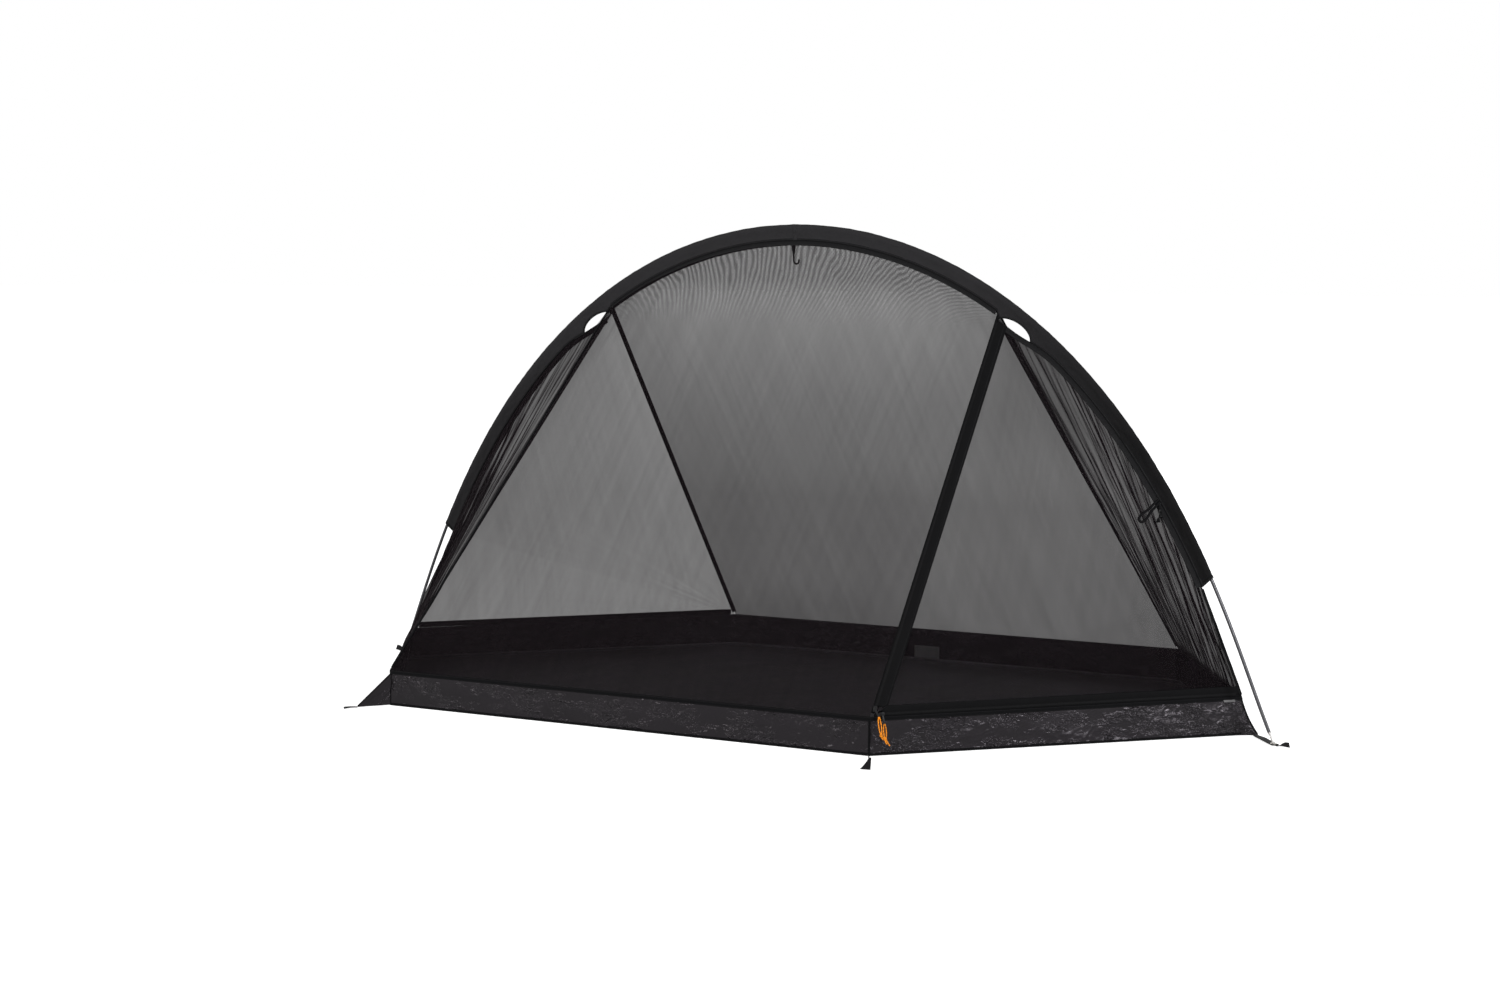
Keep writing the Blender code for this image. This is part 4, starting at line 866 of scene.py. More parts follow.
def make_walls():
    low = perimeter(FLOOR, WALL_STEP)
    top = perimeter(TOP, WALL_STEP)
    low[:, 2] = 0.0003
    count = 38
    rows = evenly(count)
    points = low[:, None, :] + (top - low)[:, None, :] * rows[None, :, None]
    for corner in (FLOOR[2], FLOOR[5]):
        near = np.exp(-(np.linalg.norm((low - corner)[:, :2], axis=1) / 0.020) ** 2)
        pull = near[:, None] * (1.0 - rows) ** 2.5 * 0.016
        points = points + pull[..., None] * unit(corner)
    normals = grid_normals(np.concatenate([points[-1:], points, points[:1]]))[1:-1]
    run = run_along(low)
    radius = (run[-1] + WALL_STEP) / FULL_TURN
    ring = np.stack([radius * np.cos(run / radius), radius * np.sin(run / radius)], axis=-1)
    height = (rows * WALL_HEIGHT)[None, :]
    where = np.concatenate([
        np.broadcast_to(ring[:, None, :], (len(run), count, 2)),
        np.broadcast_to(height[..., None], (len(run), count, 1))], axis=-1)
    wide = field(where, 9.0, 2, 2.0, (1.0, 1.0, 1.6))
    cluster = np.clip(0.35 + 2.2 * field(where, 5.0, 2, 6.0, (1.0, 1.0, 2.0)), 0.05, 1.0)
    bent = where + 0.010 * np.stack([field(where, 17.0, 2, k) for k in (1.0, 3.0, 8.0)], axis=-1)
    leaning = bent + (bent[..., 2:] * 0.8) * np.array([1.0, 1.0, 0.0])
    ridged, sharp = (
        clamp(1.0 - np.abs(field(leaning, scale, 2, seed, (1.0, 1.0, rise))) / width)
        for scale, seed, rise, width in ((20.0, 9.0, 1.1, 0.17), (38.0, 4.0, 0.9, 0.22)))
    lift = 0.0026 * wide + (0.0021 * ridged + 0.0010 * sharp - 0.0010) * cluster
    ends = [int(np.argmin(np.linalg.norm(low[:, :2] - FLOOR[k, :2], axis=1))) for k in range(6)]
    for k in (2, 5):
        back = run[ends[k]] - run[:, None]
        for start, end, rise in (
                ((0.330, 0.082), (0.015, 0.022), 0.0016), ((0.300, 0.064), (0.090, 0.012), 0.0017),
                ((0.200, 0.079), (0.020, 0.044), 0.0013), ((0.130, 0.045), (0.025, 0.008), 0.0013),
                ((0.200, 0.050), (0.120, 0.014), 0.0015)):
            lift = lift + rise * crease(back, height, start, end)
        lift = lift * (1.0 - 0.9 * np.exp(-(back / 0.022) ** 2))
        lift = lift * (1.0 - 0.60 * np.exp(-((back - 0.12) / 0.13) ** 2))
    lift = lift * clamp(np.sin(math.pi * rows) * 2.2)
    points = points + normals * lift[..., None]
    wall = cloth("wall_band", points, WALL_CLOTH, 0.0006, closed=True,
                 replaces="wall_front wall_door wall_right_end wall_back wall_back_left wall_left_end")
    up = unit(top - low)
    upper = seam_rows(top, up, (
        (-0.0085, 0.0011), (-0.0080, 0.0016), (-0.0045, 0.0020), (-0.0008, 0.0019),
        (0.0006, 0.0012), (0.0009, 0.0004)))
    cloth("wall_seam_tape", upper, BINDING_CLOTH, 0.0007, closed=True)
    lower = seam_rows(low, up, (
        (0.0006, 0.0004), (0.0010, 0.0011), (0.0035, 0.0013), (0.0060, 0.0010)))
    cloth("floor_seam_tape", lower, BINDING_CLOTH, 0.0006, closed=True)
    for k in range(6):
        places = np.arange(ends[k] - 1, ends[k] + 2) % len(low)
        seam = points[places, 1:-1] + normals[places, 1:-1] * 0.0010
        cloth("corner_seam_" + str(k + 1), seam, BINDING_CLOTH, 0.0006)


def make_floor():
    """Slack groundsheet, its rim turned up inside the walls."""
    edge = perimeter(FLOOR * 0.9995, 0.009)
    upper = perimeter(TOP, 0.009)
    share = evenly(56) ** 0.8
    points = edge[:, None, :] * share[None, :, None]
    wide = field(points[..., :2], 2.6, 3, 11.0)
    small = field(points[..., :2], 13.0, 3, 5.0, (1.0, 0.5, 1.0))
    calm = clamp((1.0 - share) * 9.0)
    points[..., 2] = 0.0006 + np.clip(0.0022 + 0.0030 * wide + 0.0016 * small, 0.0, None) * calm
    rim = []
    for rise, inset in ((0.0012, 0.0006), (0.0040, 0.0012), (0.0080, 0.0014)):
        line = edge + (upper - edge) * (rise / WALL_HEIGHT)
        line[:, :2] -= unit(edge[:, :2]) * inset
        line[:, 2] = rise
        rim.append(line)
    points = np.concatenate([points, np.stack(rim, axis=1)], axis=1)
    sheet = cloth("floor_sheet", points, FLOOR_CLOTH, 0.0006, "floor", closed=True)


# Seam bindings and hems

HEM_DEPTHS = np.array([-0.0005, 0.0035, 0.0075, 0.0120, 0.0128])
HEM_LIFTS = np.array([0.0008, 0.0013, 0.0013, 0.0012, 0.0004])


def binding(name, first, second, width, replaces, seed=0.0):
    """Folded tape over a seam, with wings on both panels."""
    ridge = -unit(first[1] + second[1])
    wings = [edge + side * width / 2 + square_to(ridge, side) * 0.0011
             for edge, side in (first, second)]
    middle = (first[0] + second[0]) / 2
    control = 2.0 * (middle + ridge * 0.0022) - (wings[0] + wings[1]) / 2.0
    rows = np.stack([(1 - t) ** 2 * wings[0] + 2 * t * (1 - t) * control + t**2 * wings[1]
                     for t in evenly(7)], axis=1)
    shift = field(middle, 24.0, 2, seed)[:, None, None] * ridge[:, None, :] * 0.0006
    rows = rows + shift * np.sin(np.linspace(0, math.pi, 7))[None, :, None]
    cloth(name, rows, BINDING_CLOTH, 0.0008, replaces)


def stations(panel, edge, shares, turn):
    """Points along a panel's edge 0 or 1, and the directions into the panel there."""
    line, inner = (ruled(panel, np.array([u]), shares)[0] for u in (
        float(edge), abs(edge - 0.01)))
    return line @ turn.T, square_to(inner - line, unit(line[-1] - line[0])) @ turn.T


def make_bindings():
    shares = np.linspace(0.004, 0.992, 150)
    for title, turn, seed in (("back_right", STILL, 3.0), ("front_left", HALF, 8.0)):
        binding("seam_" + title, stations(END, 0, shares, turn),
                stations(MAIN, 0, shares, turn @ HALF), 0.0062, "binding_" + title, seed)
    line = lerp(FAN_EDGE[0], CORNER, shares)
    inner = beside_first(np.linalg.norm(line - CORNER, axis=1), 0.008 + 0.0 * shares)
    inward = square_to(inner - line, unit(CORNER - FAN_EDGE[0]))
    binding("seam_back_left", (line @ HALF.T, inward @ HALF.T), stations(MAIN, 1, shares, HALF),
            0.012, "binding_back_left", 5.0)
    shares = np.linspace(0.02, 0.985, 60)
    low, high = FAN_EDGE[-1], FAN_EDGE[FAN_STEPS]
    line = lerp(high, low, shares)
    inward = square_to(CORNER - line, unit(low - high))
    for title, turn in BOTH:
        binding("seam_" + title + "_edge", (line @ turn.T, inward @ turn.T),
                stations(END, 1, shares, turn), 0.009, "binding_" + title + "_edge")


def hem(name, points, replaces="", body="tent"):
    cloth(name, points, HEM_CLOTH, 0.0005, replaces, body)


def make_hems():
    """Dark hems on the panels' outer faces, just below the sleeve."""
    u = np.linspace(0.004, 0.996, 200)
    points = ruled(MAIN, u, HEM_DEPTHS / 1.18)
    normals = grid_normals(points)
    normals = normals * np.sign(-normals[100, 2, 1])
    ripple = 0.0006 * field(on_line(u * 1.2), 40.0, 2, 3.0)[:, None, None]
    front = points + normals * (HEM_LIFTS[:, None] + ripple * np.array(
        [0.0, 0.3, 0.7, 1.0, 1.0])[None, :, None])
    hem("front_hem", front, "hem_front")
    hem("back_hem", front @ HALF.T, "hem_back")
    angles = np.linspace(0.0255, SLEEVE_ANGLE - 0.003, 240)
    door = np.stack([fan_point(net_reach(angles) - depth, angles) + fan_normal(angles) * lift
                     for depth, lift in zip(HEM_DEPTHS, HEM_LIFTS)], axis=1)
    hem("door_hem", door, "hem_door", "fold")
    hem("back_left_hem", door @ HALF.T, "hem_back_left")
    along = np.linspace(0.012, run_end(beside_last, 0.0150, 0.0) - 0.004, 160)
    foot = np.stack([beside_last(along, depth + 0 * along, lift) for depth, lift in zip(
        (-0.0060, 0.0040, 0.0080, 0.0130, 0.0150), HEM_LIFTS)], axis=1)
    hem("back_left_foot_hem", foot @ HALF.T)
    length = WINDOW_START + WINDOW_LENGTH + 0.03
    u = np.linspace(0.006, length / (SLEEVE_REACH - SEAM_REACH), 70)
    points = ruled(END, u, np.array([-0.0006, 0.0004, 0.0014, 0.0024, 0.0030]) / 0.7)
    normals = grid_normals(points)
    points = points + normals * np.sign(normals[30, 2, 1]) * HEM_LIFTS[:, None]
    for title, turn in BOTH:
        hem("window_edging_" + title, points @ turn.T)

# Zips

MITRE = math.atan2(SIDE_BAND * math.sin(SPREAD), BOTTOM_BAND + SIDE_BAND * math.cos(SPREAD))


def run_end(beside, offset, margin):
    """Distance along a zip at which a line beside it comes near the panel's outer edge."""
    last = beside is beside_last
    along = float(fan_reach(SPREAD if last else 0.0))
    for _ in range(8):
        angle = math.atan2(offset, along)
        reach = float(net_reach(SPREAD - angle if last else angle)) - margin
        along = math.sqrt(reach**2 - offset**2)
    return along


def zip_rows(beside, places, least, margin):
    """Rows of a tape along a zip, from the mitre; places are (offset, lift)."""
    mitre = math.tan(SPREAD - MITRE if beside is beside_last else MITRE)
    rows = []
    for offset, lift in places:
        start = max(least, offset / mitre + 0.0005)
        along = np.linspace(start, run_end(beside, offset, margin), 200)
        rows.append(beside(along, offset + 0.0 * along, lift))
    return np.stack(rows, axis=1)


def teeth(name, beside, side, body):
    """Moulded coil of one tape: small rounded turns that reach over the slot."""
    count = int((run_end(beside, FRAME_TAPE, 0.012) - COIL_START) / COIL_PITCH)
    along = COIL_START + COIL_PITCH * (np.arange(count) + (0.5 if side > 0 else 0.0))
    near = SLOT_CENTRE + side * 0.0008 + 0 * along
    base = beside(along, near, 0.0009)
    ahead = unit(beside(along + 0.001, near, 0.0009) - base)
    inward = side * unit(beside(along, near + 0.001 * side, 0.0009) - base)
    rise = unit(np.cross(ahead, inward))
    turn = np.array([(-1, -1, -1), (1, -1, -1), (1, 1, -1), (-1, 1, -1),
                     (-0.7, -1, 1), (0.7, -1, 1), (0.7, 1, 1), (-0.7, 1, 1)]) * COIL_HALF
    verts = base[:, None, :] + turn @ np.stack([ahead, inward, rise], axis=1)
    faces = np.array([(3, 2, 1, 0), (4, 5, 6, 7), (0, 1, 5, 4), (1, 2, 6, 5), (2, 3, 7, 6),
                      (3, 0, 4, 7)])
    quads = (faces + 8 * np.arange(count)[:, None, None]).reshape(-1, 4)
    data = bpy.data.meshes.new(name)
    data.from_pydata(verts.reshape(-1, 3).tolist(), [], quads.tolist())
    data.update()
    attach(put(name, data, COIL), body)


def make_zips():
    """Frame tapes, coils, storm flaps and a strip behind the slot, on both zips."""
    for title, beside, band in (
            ("side", beside_first, SIDE_BAND), ("bottom", beside_last, BOTTOM_BAND)):
        frame_tape = ((0.0, 0.0002), (0.0015, 0.0009), (0.0040, 0.0009), (FRAME_TAPE, 0.0006))
        cloth(title + "_zip_frame_tape", zip_rows(beside, frame_tape, 0.010, 0.002), ZIP_CLOTH,
              0.0006, "zip_" + title + "_frame_tape")
        flap = ((0.0065, 0.0004), (0.0068, 0.0010), (0.0110, 0.0011), (0.0125, 0.0018),
                (0.0165, 0.0019), (0.0210, 0.0018), (band - 0.0006, 0.0016), (band, 0.0004))
        cloth(title + "_storm_flap", zip_rows(beside, flap, 0.028, 0.0008), STORM_CLOTH, 0.0007,
              "zip_" + title + "_door_tape", "fold")
        backing = ((0.0010, -0.0012), (0.0050, -0.0020), (0.0090, -0.0020), (0.0130, -0.0016))
        cloth(title + "_zip_backing", zip_rows(beside, backing, 0.010, 0.002), ZIP_CLOTH, 0.0005)
        teeth(title + "_coil_frame", beside, -1, "tent")
        teeth(title + "_coil_door", beside, 1, "fold")


# Sleeve and pole


def channel(reach, depth, radius, spread, slant, count, slack=None, pucker=None):
    """Cloth round the pole and flat below it.

    slack and pucker give what a row adds sideways and outward.
    """
    centre, along, outward = hoop_frame(reach)
    rows = []
    for k in range(count):
        t = k / (count - 1)
        side = -1.0 if t < 0.5 else 1.0
        s = abs(2.0 * t - 1.0)
        if s > BEND_SHARE:
            low = min(1.0, (s - BEND_SHARE) / (1.0 - BEND_SHARE))
            height = -radius * 0.35 + (-depth + radius * 0.35) * low
            y = side * (radius * 0.95 * (1 - low) ** 2.2 + spread)
            if slack:
                y = y + slack(low, side)
        else:
            angle = s / BEND_SHARE * math.radians(110.0)
            y = side * radius * math.sin(angle)
            height = radius * math.cos(angle)
        level = height + 0 * reach
        if pucker:
            level = level + pucker(t)
        point = centre + outward * level[:, None]
        point -= along * (slant * (depth + level) / (depth + radius))[:, None]
        point[:, 1] += y
        rows.append(point)
    return np.stack(rows, axis=1)


def sleeve_half(title, turn, seed, finish):
    """Half of the sleeve, with a flat hem edge below and a window."""
    reach = np.unique(np.concatenate([
        np.linspace(0.0006, SLEEVE_REACH, 250),
        np.linspace(SEAM_REACH, SEAM_REACH + WINDOW_LENGTH + 0.01, 60)]))
    wave = 0.0006 * field(on_line(reach), 16.0, 3, seed)
    rise = (reach - SLEEVE_REACH + SLANT_LENGTH) / SLANT_LENGTH

    def slack(low, side):
        loose = field(on_line(reach, low * 0.05 + side), 26.0, 3, seed + 4.0)
        return side * np.abs(0.0026 * math.sin(math.pi * low) * loose) + wave

    def pucker(t):
        return 0.0009 * field(on_line(reach, 3.0 * t), 45.0, 2, seed)

    points = channel(reach, sleeve_depth(reach) - window_cut(reach), TUBE_RADIUS + 0.0017, 0.0013,
                     SLEEVE_END_SLANT * clamp(rise), 31, slack, pucker)
    item = cloth("sleeve_" + title + "_cloth", points @ turn.T, finish, 0.0005, "sleeve_" + title)


def cuff(name, reach, turn, finish, lift, slant=0.0):
    points = channel(reach, sleeve_depth(reach), TUBE_RADIUS + 0.0017 + lift, 0.0017 + lift,
                     slant, 25)
    cloth(name, points @ turn.T, finish, 0.0005)


def sleeve_trims():
    """Stitch-bound edge of the sleeve, its end bindings, and the apex joint."""
    for title, turn in BOTH:
        for side, which in ((-1.0, "front"), (1.0, "back")):
            reach = np.linspace(0.001, SLEEVE_REACH - 0.001, 420)
            cut = window_cut(reach)
            points = np.stack([rail(reach, side, drop - cut, lift) for drop, lift in (
                (-0.0045, 0.00195), (-0.0022, 0.0021), (0.0004, 0.0020))], axis=1)
            cloth("sleeve_edge_" + title + "_" + which, points @ turn.T, HEM_CLOTH, 0.0004)
        reach = SLEEVE_REACH + np.array([-0.006, -0.003, 0.0004])
        cuff(title + "_sleeve_cuff", reach, turn, HEM_CLOTH, 0.0006, SLEEVE_END_SLANT)
    reach = np.array([-0.0055, -0.0028, 0.0, 0.0028, 0.0055])
    cuff("apex_cuff", reach, STILL, SLEEVE_CLOTH, 0.0004)


def make_pole():
    """Eight tubes of the hoop with their joint rings; the ends show below the sleeve."""
    steps = np.linspace(-TUBE_END, TUBE_END, TUBE_SECTIONS + 1)
    for k in range(TUBE_SECTIONS):
        line = hoop_frame(np.linspace(steps[k] + 0.0001, steps[k + 1] - 0.0001, 60))[0]
        curve_line("pole_tube_" + str(k + 1), line, TUBE_RADIUS, POLE, resolution=6,
                   replaces="pole_section_" + str(k + 1))
        if k:
            ring = hoop_frame(np.linspace(steps[k] - 0.011, steps[k] + 0.0004, 5))[0]
            curve_line("pole_ferrule_" + str(k), ring, TUBE_RADIUS + 0.00025, JOINT, resolution=6)
    for name, finish in (("pole_tip_right", ALLOY), ("pole_tip_left", ALLOY),
                         ("eyelet_right", BRASS), ("eyelet_left", BRASS),
                         ("shock_cord", BLACK_CORD)):
        bpy.data.objects[name].material_slots[0].material = finish


# Webbing on the ground


def strip(name, middle, widths, body, thickness, replaces, turn, side=None):
    """Flat webbing along a line of points, with a width at each."""
    middle = middle @ turn.T
    side = unit(np.cross(unit(np.gradient(middle, axis=0)), UP)) if side is None else side @ turn.T
    points = np.stack([middle + side * (widths * share)[:, None] + UP * dip for share, dip in (
        (-0.5, 0.0), (-0.42, 0.0002), (0.0, 0.0003), (0.42, 0.0002), (0.5, 0.0))], axis=1)
    return cloth(name, points, WEBBING, thickness, replaces, body)


def cut_hole(item, place):
    built = bmesh.new()
    bmesh.ops.create_cone(built, cap_ends=True, segments=32, radius1=EYELET_HOLE,
                          radius2=EYELET_HOLE, depth=0.02)
    hole = from_bmesh("hole_cutter", built, BRASS)
    hole.location = Vector(place)
    settle(item, "BOOLEAN", operation="DIFFERENCE", object=hole, solver="EXACT")
    bpy.data.objects.remove(hole, do_unlink=True)


def make_straps():
    """Straps under the pole's feet, with a hole for the eyelet, and their peg loops."""
    end, before = hoop_frame(np.array([TUBE_END, TUBE_END - 2 * TUBE_END / 64]))[0]
    upward = unit(before - end)
    foot = end - upward * ((end[2] - 0.0015) / upward[2])
    foot[2] = 0.0
    line = unit(foot - FLOOR[2])
    strap_end = foot + line * 0.0092
    start = FLOOR[2] + unit(FLOOR[2]) * 0.0012
    run = float(np.linalg.norm(strap_end - start))
    out = heading(-13.0)
    for title, turn in BOTH:
        share = evenly(40)
        middle = start + (strap_end - start) * share[:, None]
        middle[:, 2] = 0.0019 + 0.0008 * np.exp(-((share - 0.42) / 0.16) ** 2)
        widths = np.interp(share * run, [0.0, 0.030, 0.034, run], [0.0075, 0.0170, 0.018, 0.018])
        item = strip("strap_" + title, middle, widths, "tent", 0.0012, "foot_strap_" + title, turn)
        cut_hole(item, foot @ turn.T)
        share = evenly(24)
        middle = strap_end + line * 0.0012 + out * (0.030 * share)[:, None]
        widths = np.interp(share, [0.0, 0.25, 0.5, 1.0], [0.006, 0.0085, 0.013, 0.014])
        twist = np.radians(62.0) * clamp(share * 1.4) ** 1.5
        middle[:, 2] = 0.0010 + widths / 2 * np.sin(twist)
        side = unit(np.cross(out, UP)) * np.cos(twist)[:, None] + UP * np.sin(twist)[:, None]
        strip("foot_tab_" + title, middle, widths, title + "_foot_loop", 0.0014,
              "foot_loop_" + title, turn, side)


def make_peg_loops():
    out = heading(-73.0)
    across = np.cross(out, UP)
    start = FLOOR[1] + unit(FLOOR[1]) * 0.0012 + out * 0.0005
    for title, turn in (("front", STILL), ("back", HALF)):
        body = title + "_peg_loop"
        share = evenly(30)
        line = start + out * (0.052 * share)[:, None]
        line += across * (0.0012 * np.sin(FULL_TURN * share) - 0.0046 * share)[:, None]
        line[:, 2] = 0.0013 + 0.0080 * clamp(share * 1.15) ** 3
        piece = curve_line("peg_cord_" + title, line @ turn.T, CORD_RADIUS, BLACK_CORD, body)
        share = evenly(20)
        tab = start + out * (0.044 + 0.058 * share)[:, None]
        tab += across * (0.0070 * share - 0.0046)[:, None]
        tab[:, 2] = 0.0010 + 0.0085 * (1.0 - share) ** 2
        item = strip("peg_tab_" + title, tab, 0.005 + 0.017 * share, body, 0.0014,
                     "peg_loop_" + title, turn)
        tuple(line[0] @ turn.T)


def make_fins():
    """Small upright triangles of wall cloth at the two square corners, with tabs."""
    out = heading(218.75)
    side = np.cross(out, UP)
    low = FLOOR[0] - out * 0.0080 + UP * 0.0016
    top = TOP[0] - out * 0.0080
    tip = FLOOR[0] + out * 0.076 + UP * 0.004
    share = evenly(28)
    slope = lerp(top, tip, share)
    rows = []
    for v in evenly(12):
        line = lerp(slope, lerp(low, tip - UP * 0.0034, share), v + 0 * share)
        sway = 0.0035 * field(np.stack([share * 0.1, v + 0 * share], axis=-1), 9.0, 2, 3.0)
        rows.append(line + side * (sway * np.sin(math.pi * share) * (0.4 + 0.6 * v))[:, None])
    edge = np.stack([slope + side * out_by + UP * rise for out_by, rise in (
        (0.0011, -0.0032), (0.0010, 0.0002), (-0.0010, 0.0002), (-0.0011, -0.0032))], axis=1)
    along = evenly(20)
    middle = tip + out * (0.0006 + 0.032 * along)[:, None]
    middle[:, 2] = 0.0009 + 0.001 * np.sin(math.pi * along)
    widths = np.interp(along, [0.0, 0.35, 1.0], [0.008, 0.0085, 0.018])
    for title, turn in (("front_left", STILL), ("back_right", HALF)):
        fin = cloth("fin_" + title, np.stack(rows, axis=1) @ turn.T, WALL_CLOTH, 0.0006,
                    "corner_fin_" + title)
        cloth("fin_edge_" + title, edge @ turn.T, BINDING_CLOTH, 0.0005)
        strip("fin_tab_" + title, middle, widths, title + "_fin_loop", 0.0012,
              "fin_loop_" + title, turn)


# Zip sliders and cord pulls

HINGE_LINE = unit(FLOOR[2] - FLOOR[1])


def make_slider(title, beside, rest, ahead, angle, tilt, lean, reach, clear):
    """Slider with a moulded tab and two strands of cord; clear holds them off plumb."""
    body, pull = title + "_slider", title + "_pull"
    base, far = (beside(np.array([place]), np.array([SLOT_CENTRE]))[0]
                 for place in (rest, rest + ahead))
    normal = fan_normal(np.array([angle]))[0]
    along = far - base
    centre = base + normal * 0.00315
    place = frame_matrix(centre, along, normal)
    shape = [(x * 0.0065, y * 0.0045) for x, y in (
        (-1.0, 0.46), (-0.55, 0.70), (0.10, 0.92), (0.62, 1.0), (0.92, 0.72), (1.0, 0.30))]
    outline = shape + [(x, -y) for x, y in reversed(shape)]
    post = [(0.0012, 0.0014), (0.0058, 0.0010), (0.0058, -0.0010), (0.0012, -0.0014)]
    rim_a = shape[1:4] + [(x, y - 0.0008) for x, y in reversed(shape[1:4])]
    rim_b = [(x, -y) for x, y in reversed(rim_a)]
    for name, form, low, high, bevel in (
            ("plate", outline, 0.0004, 0.0016, 0.0004), ("base", outline, -0.0016, -0.0004, 0.0004),
            ("post", post, -0.0006, 0.0006, 0.0002), ("rim_a", rim_a, -0.0012, 0.0012, 0.0002),
            ("rim_b", rim_b, -0.0012, 0.0012, 0.0002)):
        item = outline_prism("slider_" + title + "_" + name, form, low, high, place, body, bevel)
        if name == "plate":
            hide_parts("slider_" + title)
    turns = np.linspace(0.0, math.pi, 13)[:, None]
    bridge = centre + unit(along) * (0.0046 * np.cos(turns)) + normal * (
        0.0012 + 0.0050 * np.sin(turns))
    curve_line("slider_" + title + "_bridge", bridge, 0.0008, BLACK, body)
    pin = centre + normal * 0.00525
    out = square_to(square_to(normal, UP), HINGE_LINE)
    down = unit(-UP * math.cos(tilt) + out * math.sin(tilt))
    fall = unit(down + HINGE_LINE * lean)
    tab = [(0.0026 if title == "bottom" else 0.0, 0.0016), (0.005, 0.0022), (0.017, 0.0019),
           (0.0208, 0.0013), (TAB_LENGTH, 0.0)]
    tab = tab + [(x, -y) for x, y in reversed(tab[:-1])]
    outline_prism("pull_" + title + "_tab", tab, -0.0006, 0.0006,
                  frame_matrix(pin, fall, square_to(out, fall)), pull, 0.0003)
    if title == "bottom":
        turns = np.arange(24)[:, None] * math.pi / 12
        eye = pin + 0.0025 * (fall * np.cos(turns) + unit(np.cross(fall, HINGE_LINE)) * np.sin(turns))
        curve_line("pull_bottom_eye", eye, 0.0005, BLACK, pull, cyclic=True)
    ring = pin + fall * (TAB_LENGTH - 0.0020)
    hang = unit(-UP + out * clear + HINGE_LINE * 0.05)
    knot_at = ring + hang * (reach - TAB_LENGTH + 0.0020)
    for name, side in (("a", -1.0), ("b", 1.0)):
        route = [ring + out * 0.0012 + HINGE_LINE * side * 0.0006]
        for share, spread in ((0.18, 0.0022), (0.5, 0.0030), (0.82, 0.0022), (1.0, 0.0006)):
            route.append(lerp(ring, knot_at, share) + HINGE_LINE * side * spread)
        route.append(knot_at + down * 0.006 + HINGE_LINE * (side * 0.0020 + 0.002) + out * 0.001)
        route.append(knot_at + down * (0.0125 + 0.002 * side) + HINGE_LINE * (side * 0.0030 + 0.006))
        line, length = smooth_path(route, 40)
        piece = curve_line("pull_" + title + "_strand_" + name, line, CORD_RADIUS, ORANGE, pull)
    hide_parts("pull_" + title)
    knot = knot_piece("pull_" + title + "_knot", knot_at, down, HINGE_LINE, 0.0032, ORANGE, pull)


def knot_piece(name, centre, down, across, size, finish, body):
    """Overhand knot: three crossing turns of cord."""
    t = FULL_TURN * np.arange(60)[:, None] / 60
    points = centre + size * (
        across * 0.30 * (np.sin(t) + 2.0 * np.sin(2 * t))
        + down * 0.34 * (np.cos(t) - 2.0 * np.cos(2 * t))
        - unit(np.cross(down, across)) * 0.40 * np.sin(3 * t))
    return curve_line(name, points, size * 0.38, finish, body, cyclic=True)


# Small fittings


def edge_place(reach):
    """Place, outward normal and inward direction at the door's edge by the sleeve."""
    share = (reach - SEAM_REACH) / (SLEEVE_REACH - SEAM_REACH)
    angle = np.array([np.interp(share * FAN_STEPS, np.arange(len(FAN_ANGLES)), FAN_ANGLES)])
    edge = fan_edge(angle)[0]
    return edge, fan_normal(angle)[0], unit(CORNER - edge)


def make_tieback():
    edge, normal, inward = edge_place(TIEBACK_REACH)
    root = edge + normal * 0.0033
    line = np.array(Matrix.Rotation(math.radians(9.0), 3, Vector(normal)) @ Vector(inward))
    side = np.cross(normal, line)
    half = ((0.00, 0.40), (0.20, 0.48), (0.50, 0.55), (0.78, 1.0), (0.96, 0.75))
    route = [root + line * 0.066 * run + side * 0.0072 * out for run, out in (
        *half, (1.0, 0.0), *((run, -out) for run, out in reversed(half)))]
    path, length = smooth_path(route, 60)
    loop = curve_line("tieback_cord_loop", path, 0.0030, BLACK_CORD, replaces="tieback_loop")
    patch = np.stack([[root - normal * 0.0012 + side * k + line * s
                       for s in (-0.002, 0.001, 0.0045, 0.0085)]
                      for k in np.linspace(-0.0085, 0.0085, 5)])
    cloth("tieback_patch", patch, WEBBING, 0.0010)

    edge, normal, inward = edge_place(TOGGLE_REACH)
    hinge = edge + normal * 0.0053 + inward * 0.006
    fall = square_to(-UP, normal)
    cross = np.cross(fall, normal)
    half = ((0.0, 0.009), (0.0014, 0.009), (0.0027, 0.0084), (0.0035, 0.0068), (0.0033, 0.0045),
            (0.0027, 0.0012))
    profile = [*half, (0.0026, 0.0), *((radius, -height) for radius, height in reversed(half))]
    turned_mesh("tieback_barrel", profile, frame_matrix(hinge + fall * 0.017, normal, -fall),
                "toggle", 28, "tieback_toggle")
    route = [hinge + fall * a + cross * b + normal * c for a, b, c in (
        (0.0, 0.0, 0.0), (0.004, 0.0012, 0.0), (0.009, -0.0006, 0.0), (0.014, 0.0, 0.003),
        (0.019, 0.0, 0.0046), (0.025, 0.003, 0.0028), (0.0335, 0.0052, 0.0))]
    path, length = smooth_path(route, 30)
    cord = curve_line("toggle_cord", path, 0.0018, BLACK_CORD, "toggle")
    knot = knot_piece("toggle_knot", path[-1], fall, cross, 0.0042, BLACK_CORD, "toggle")


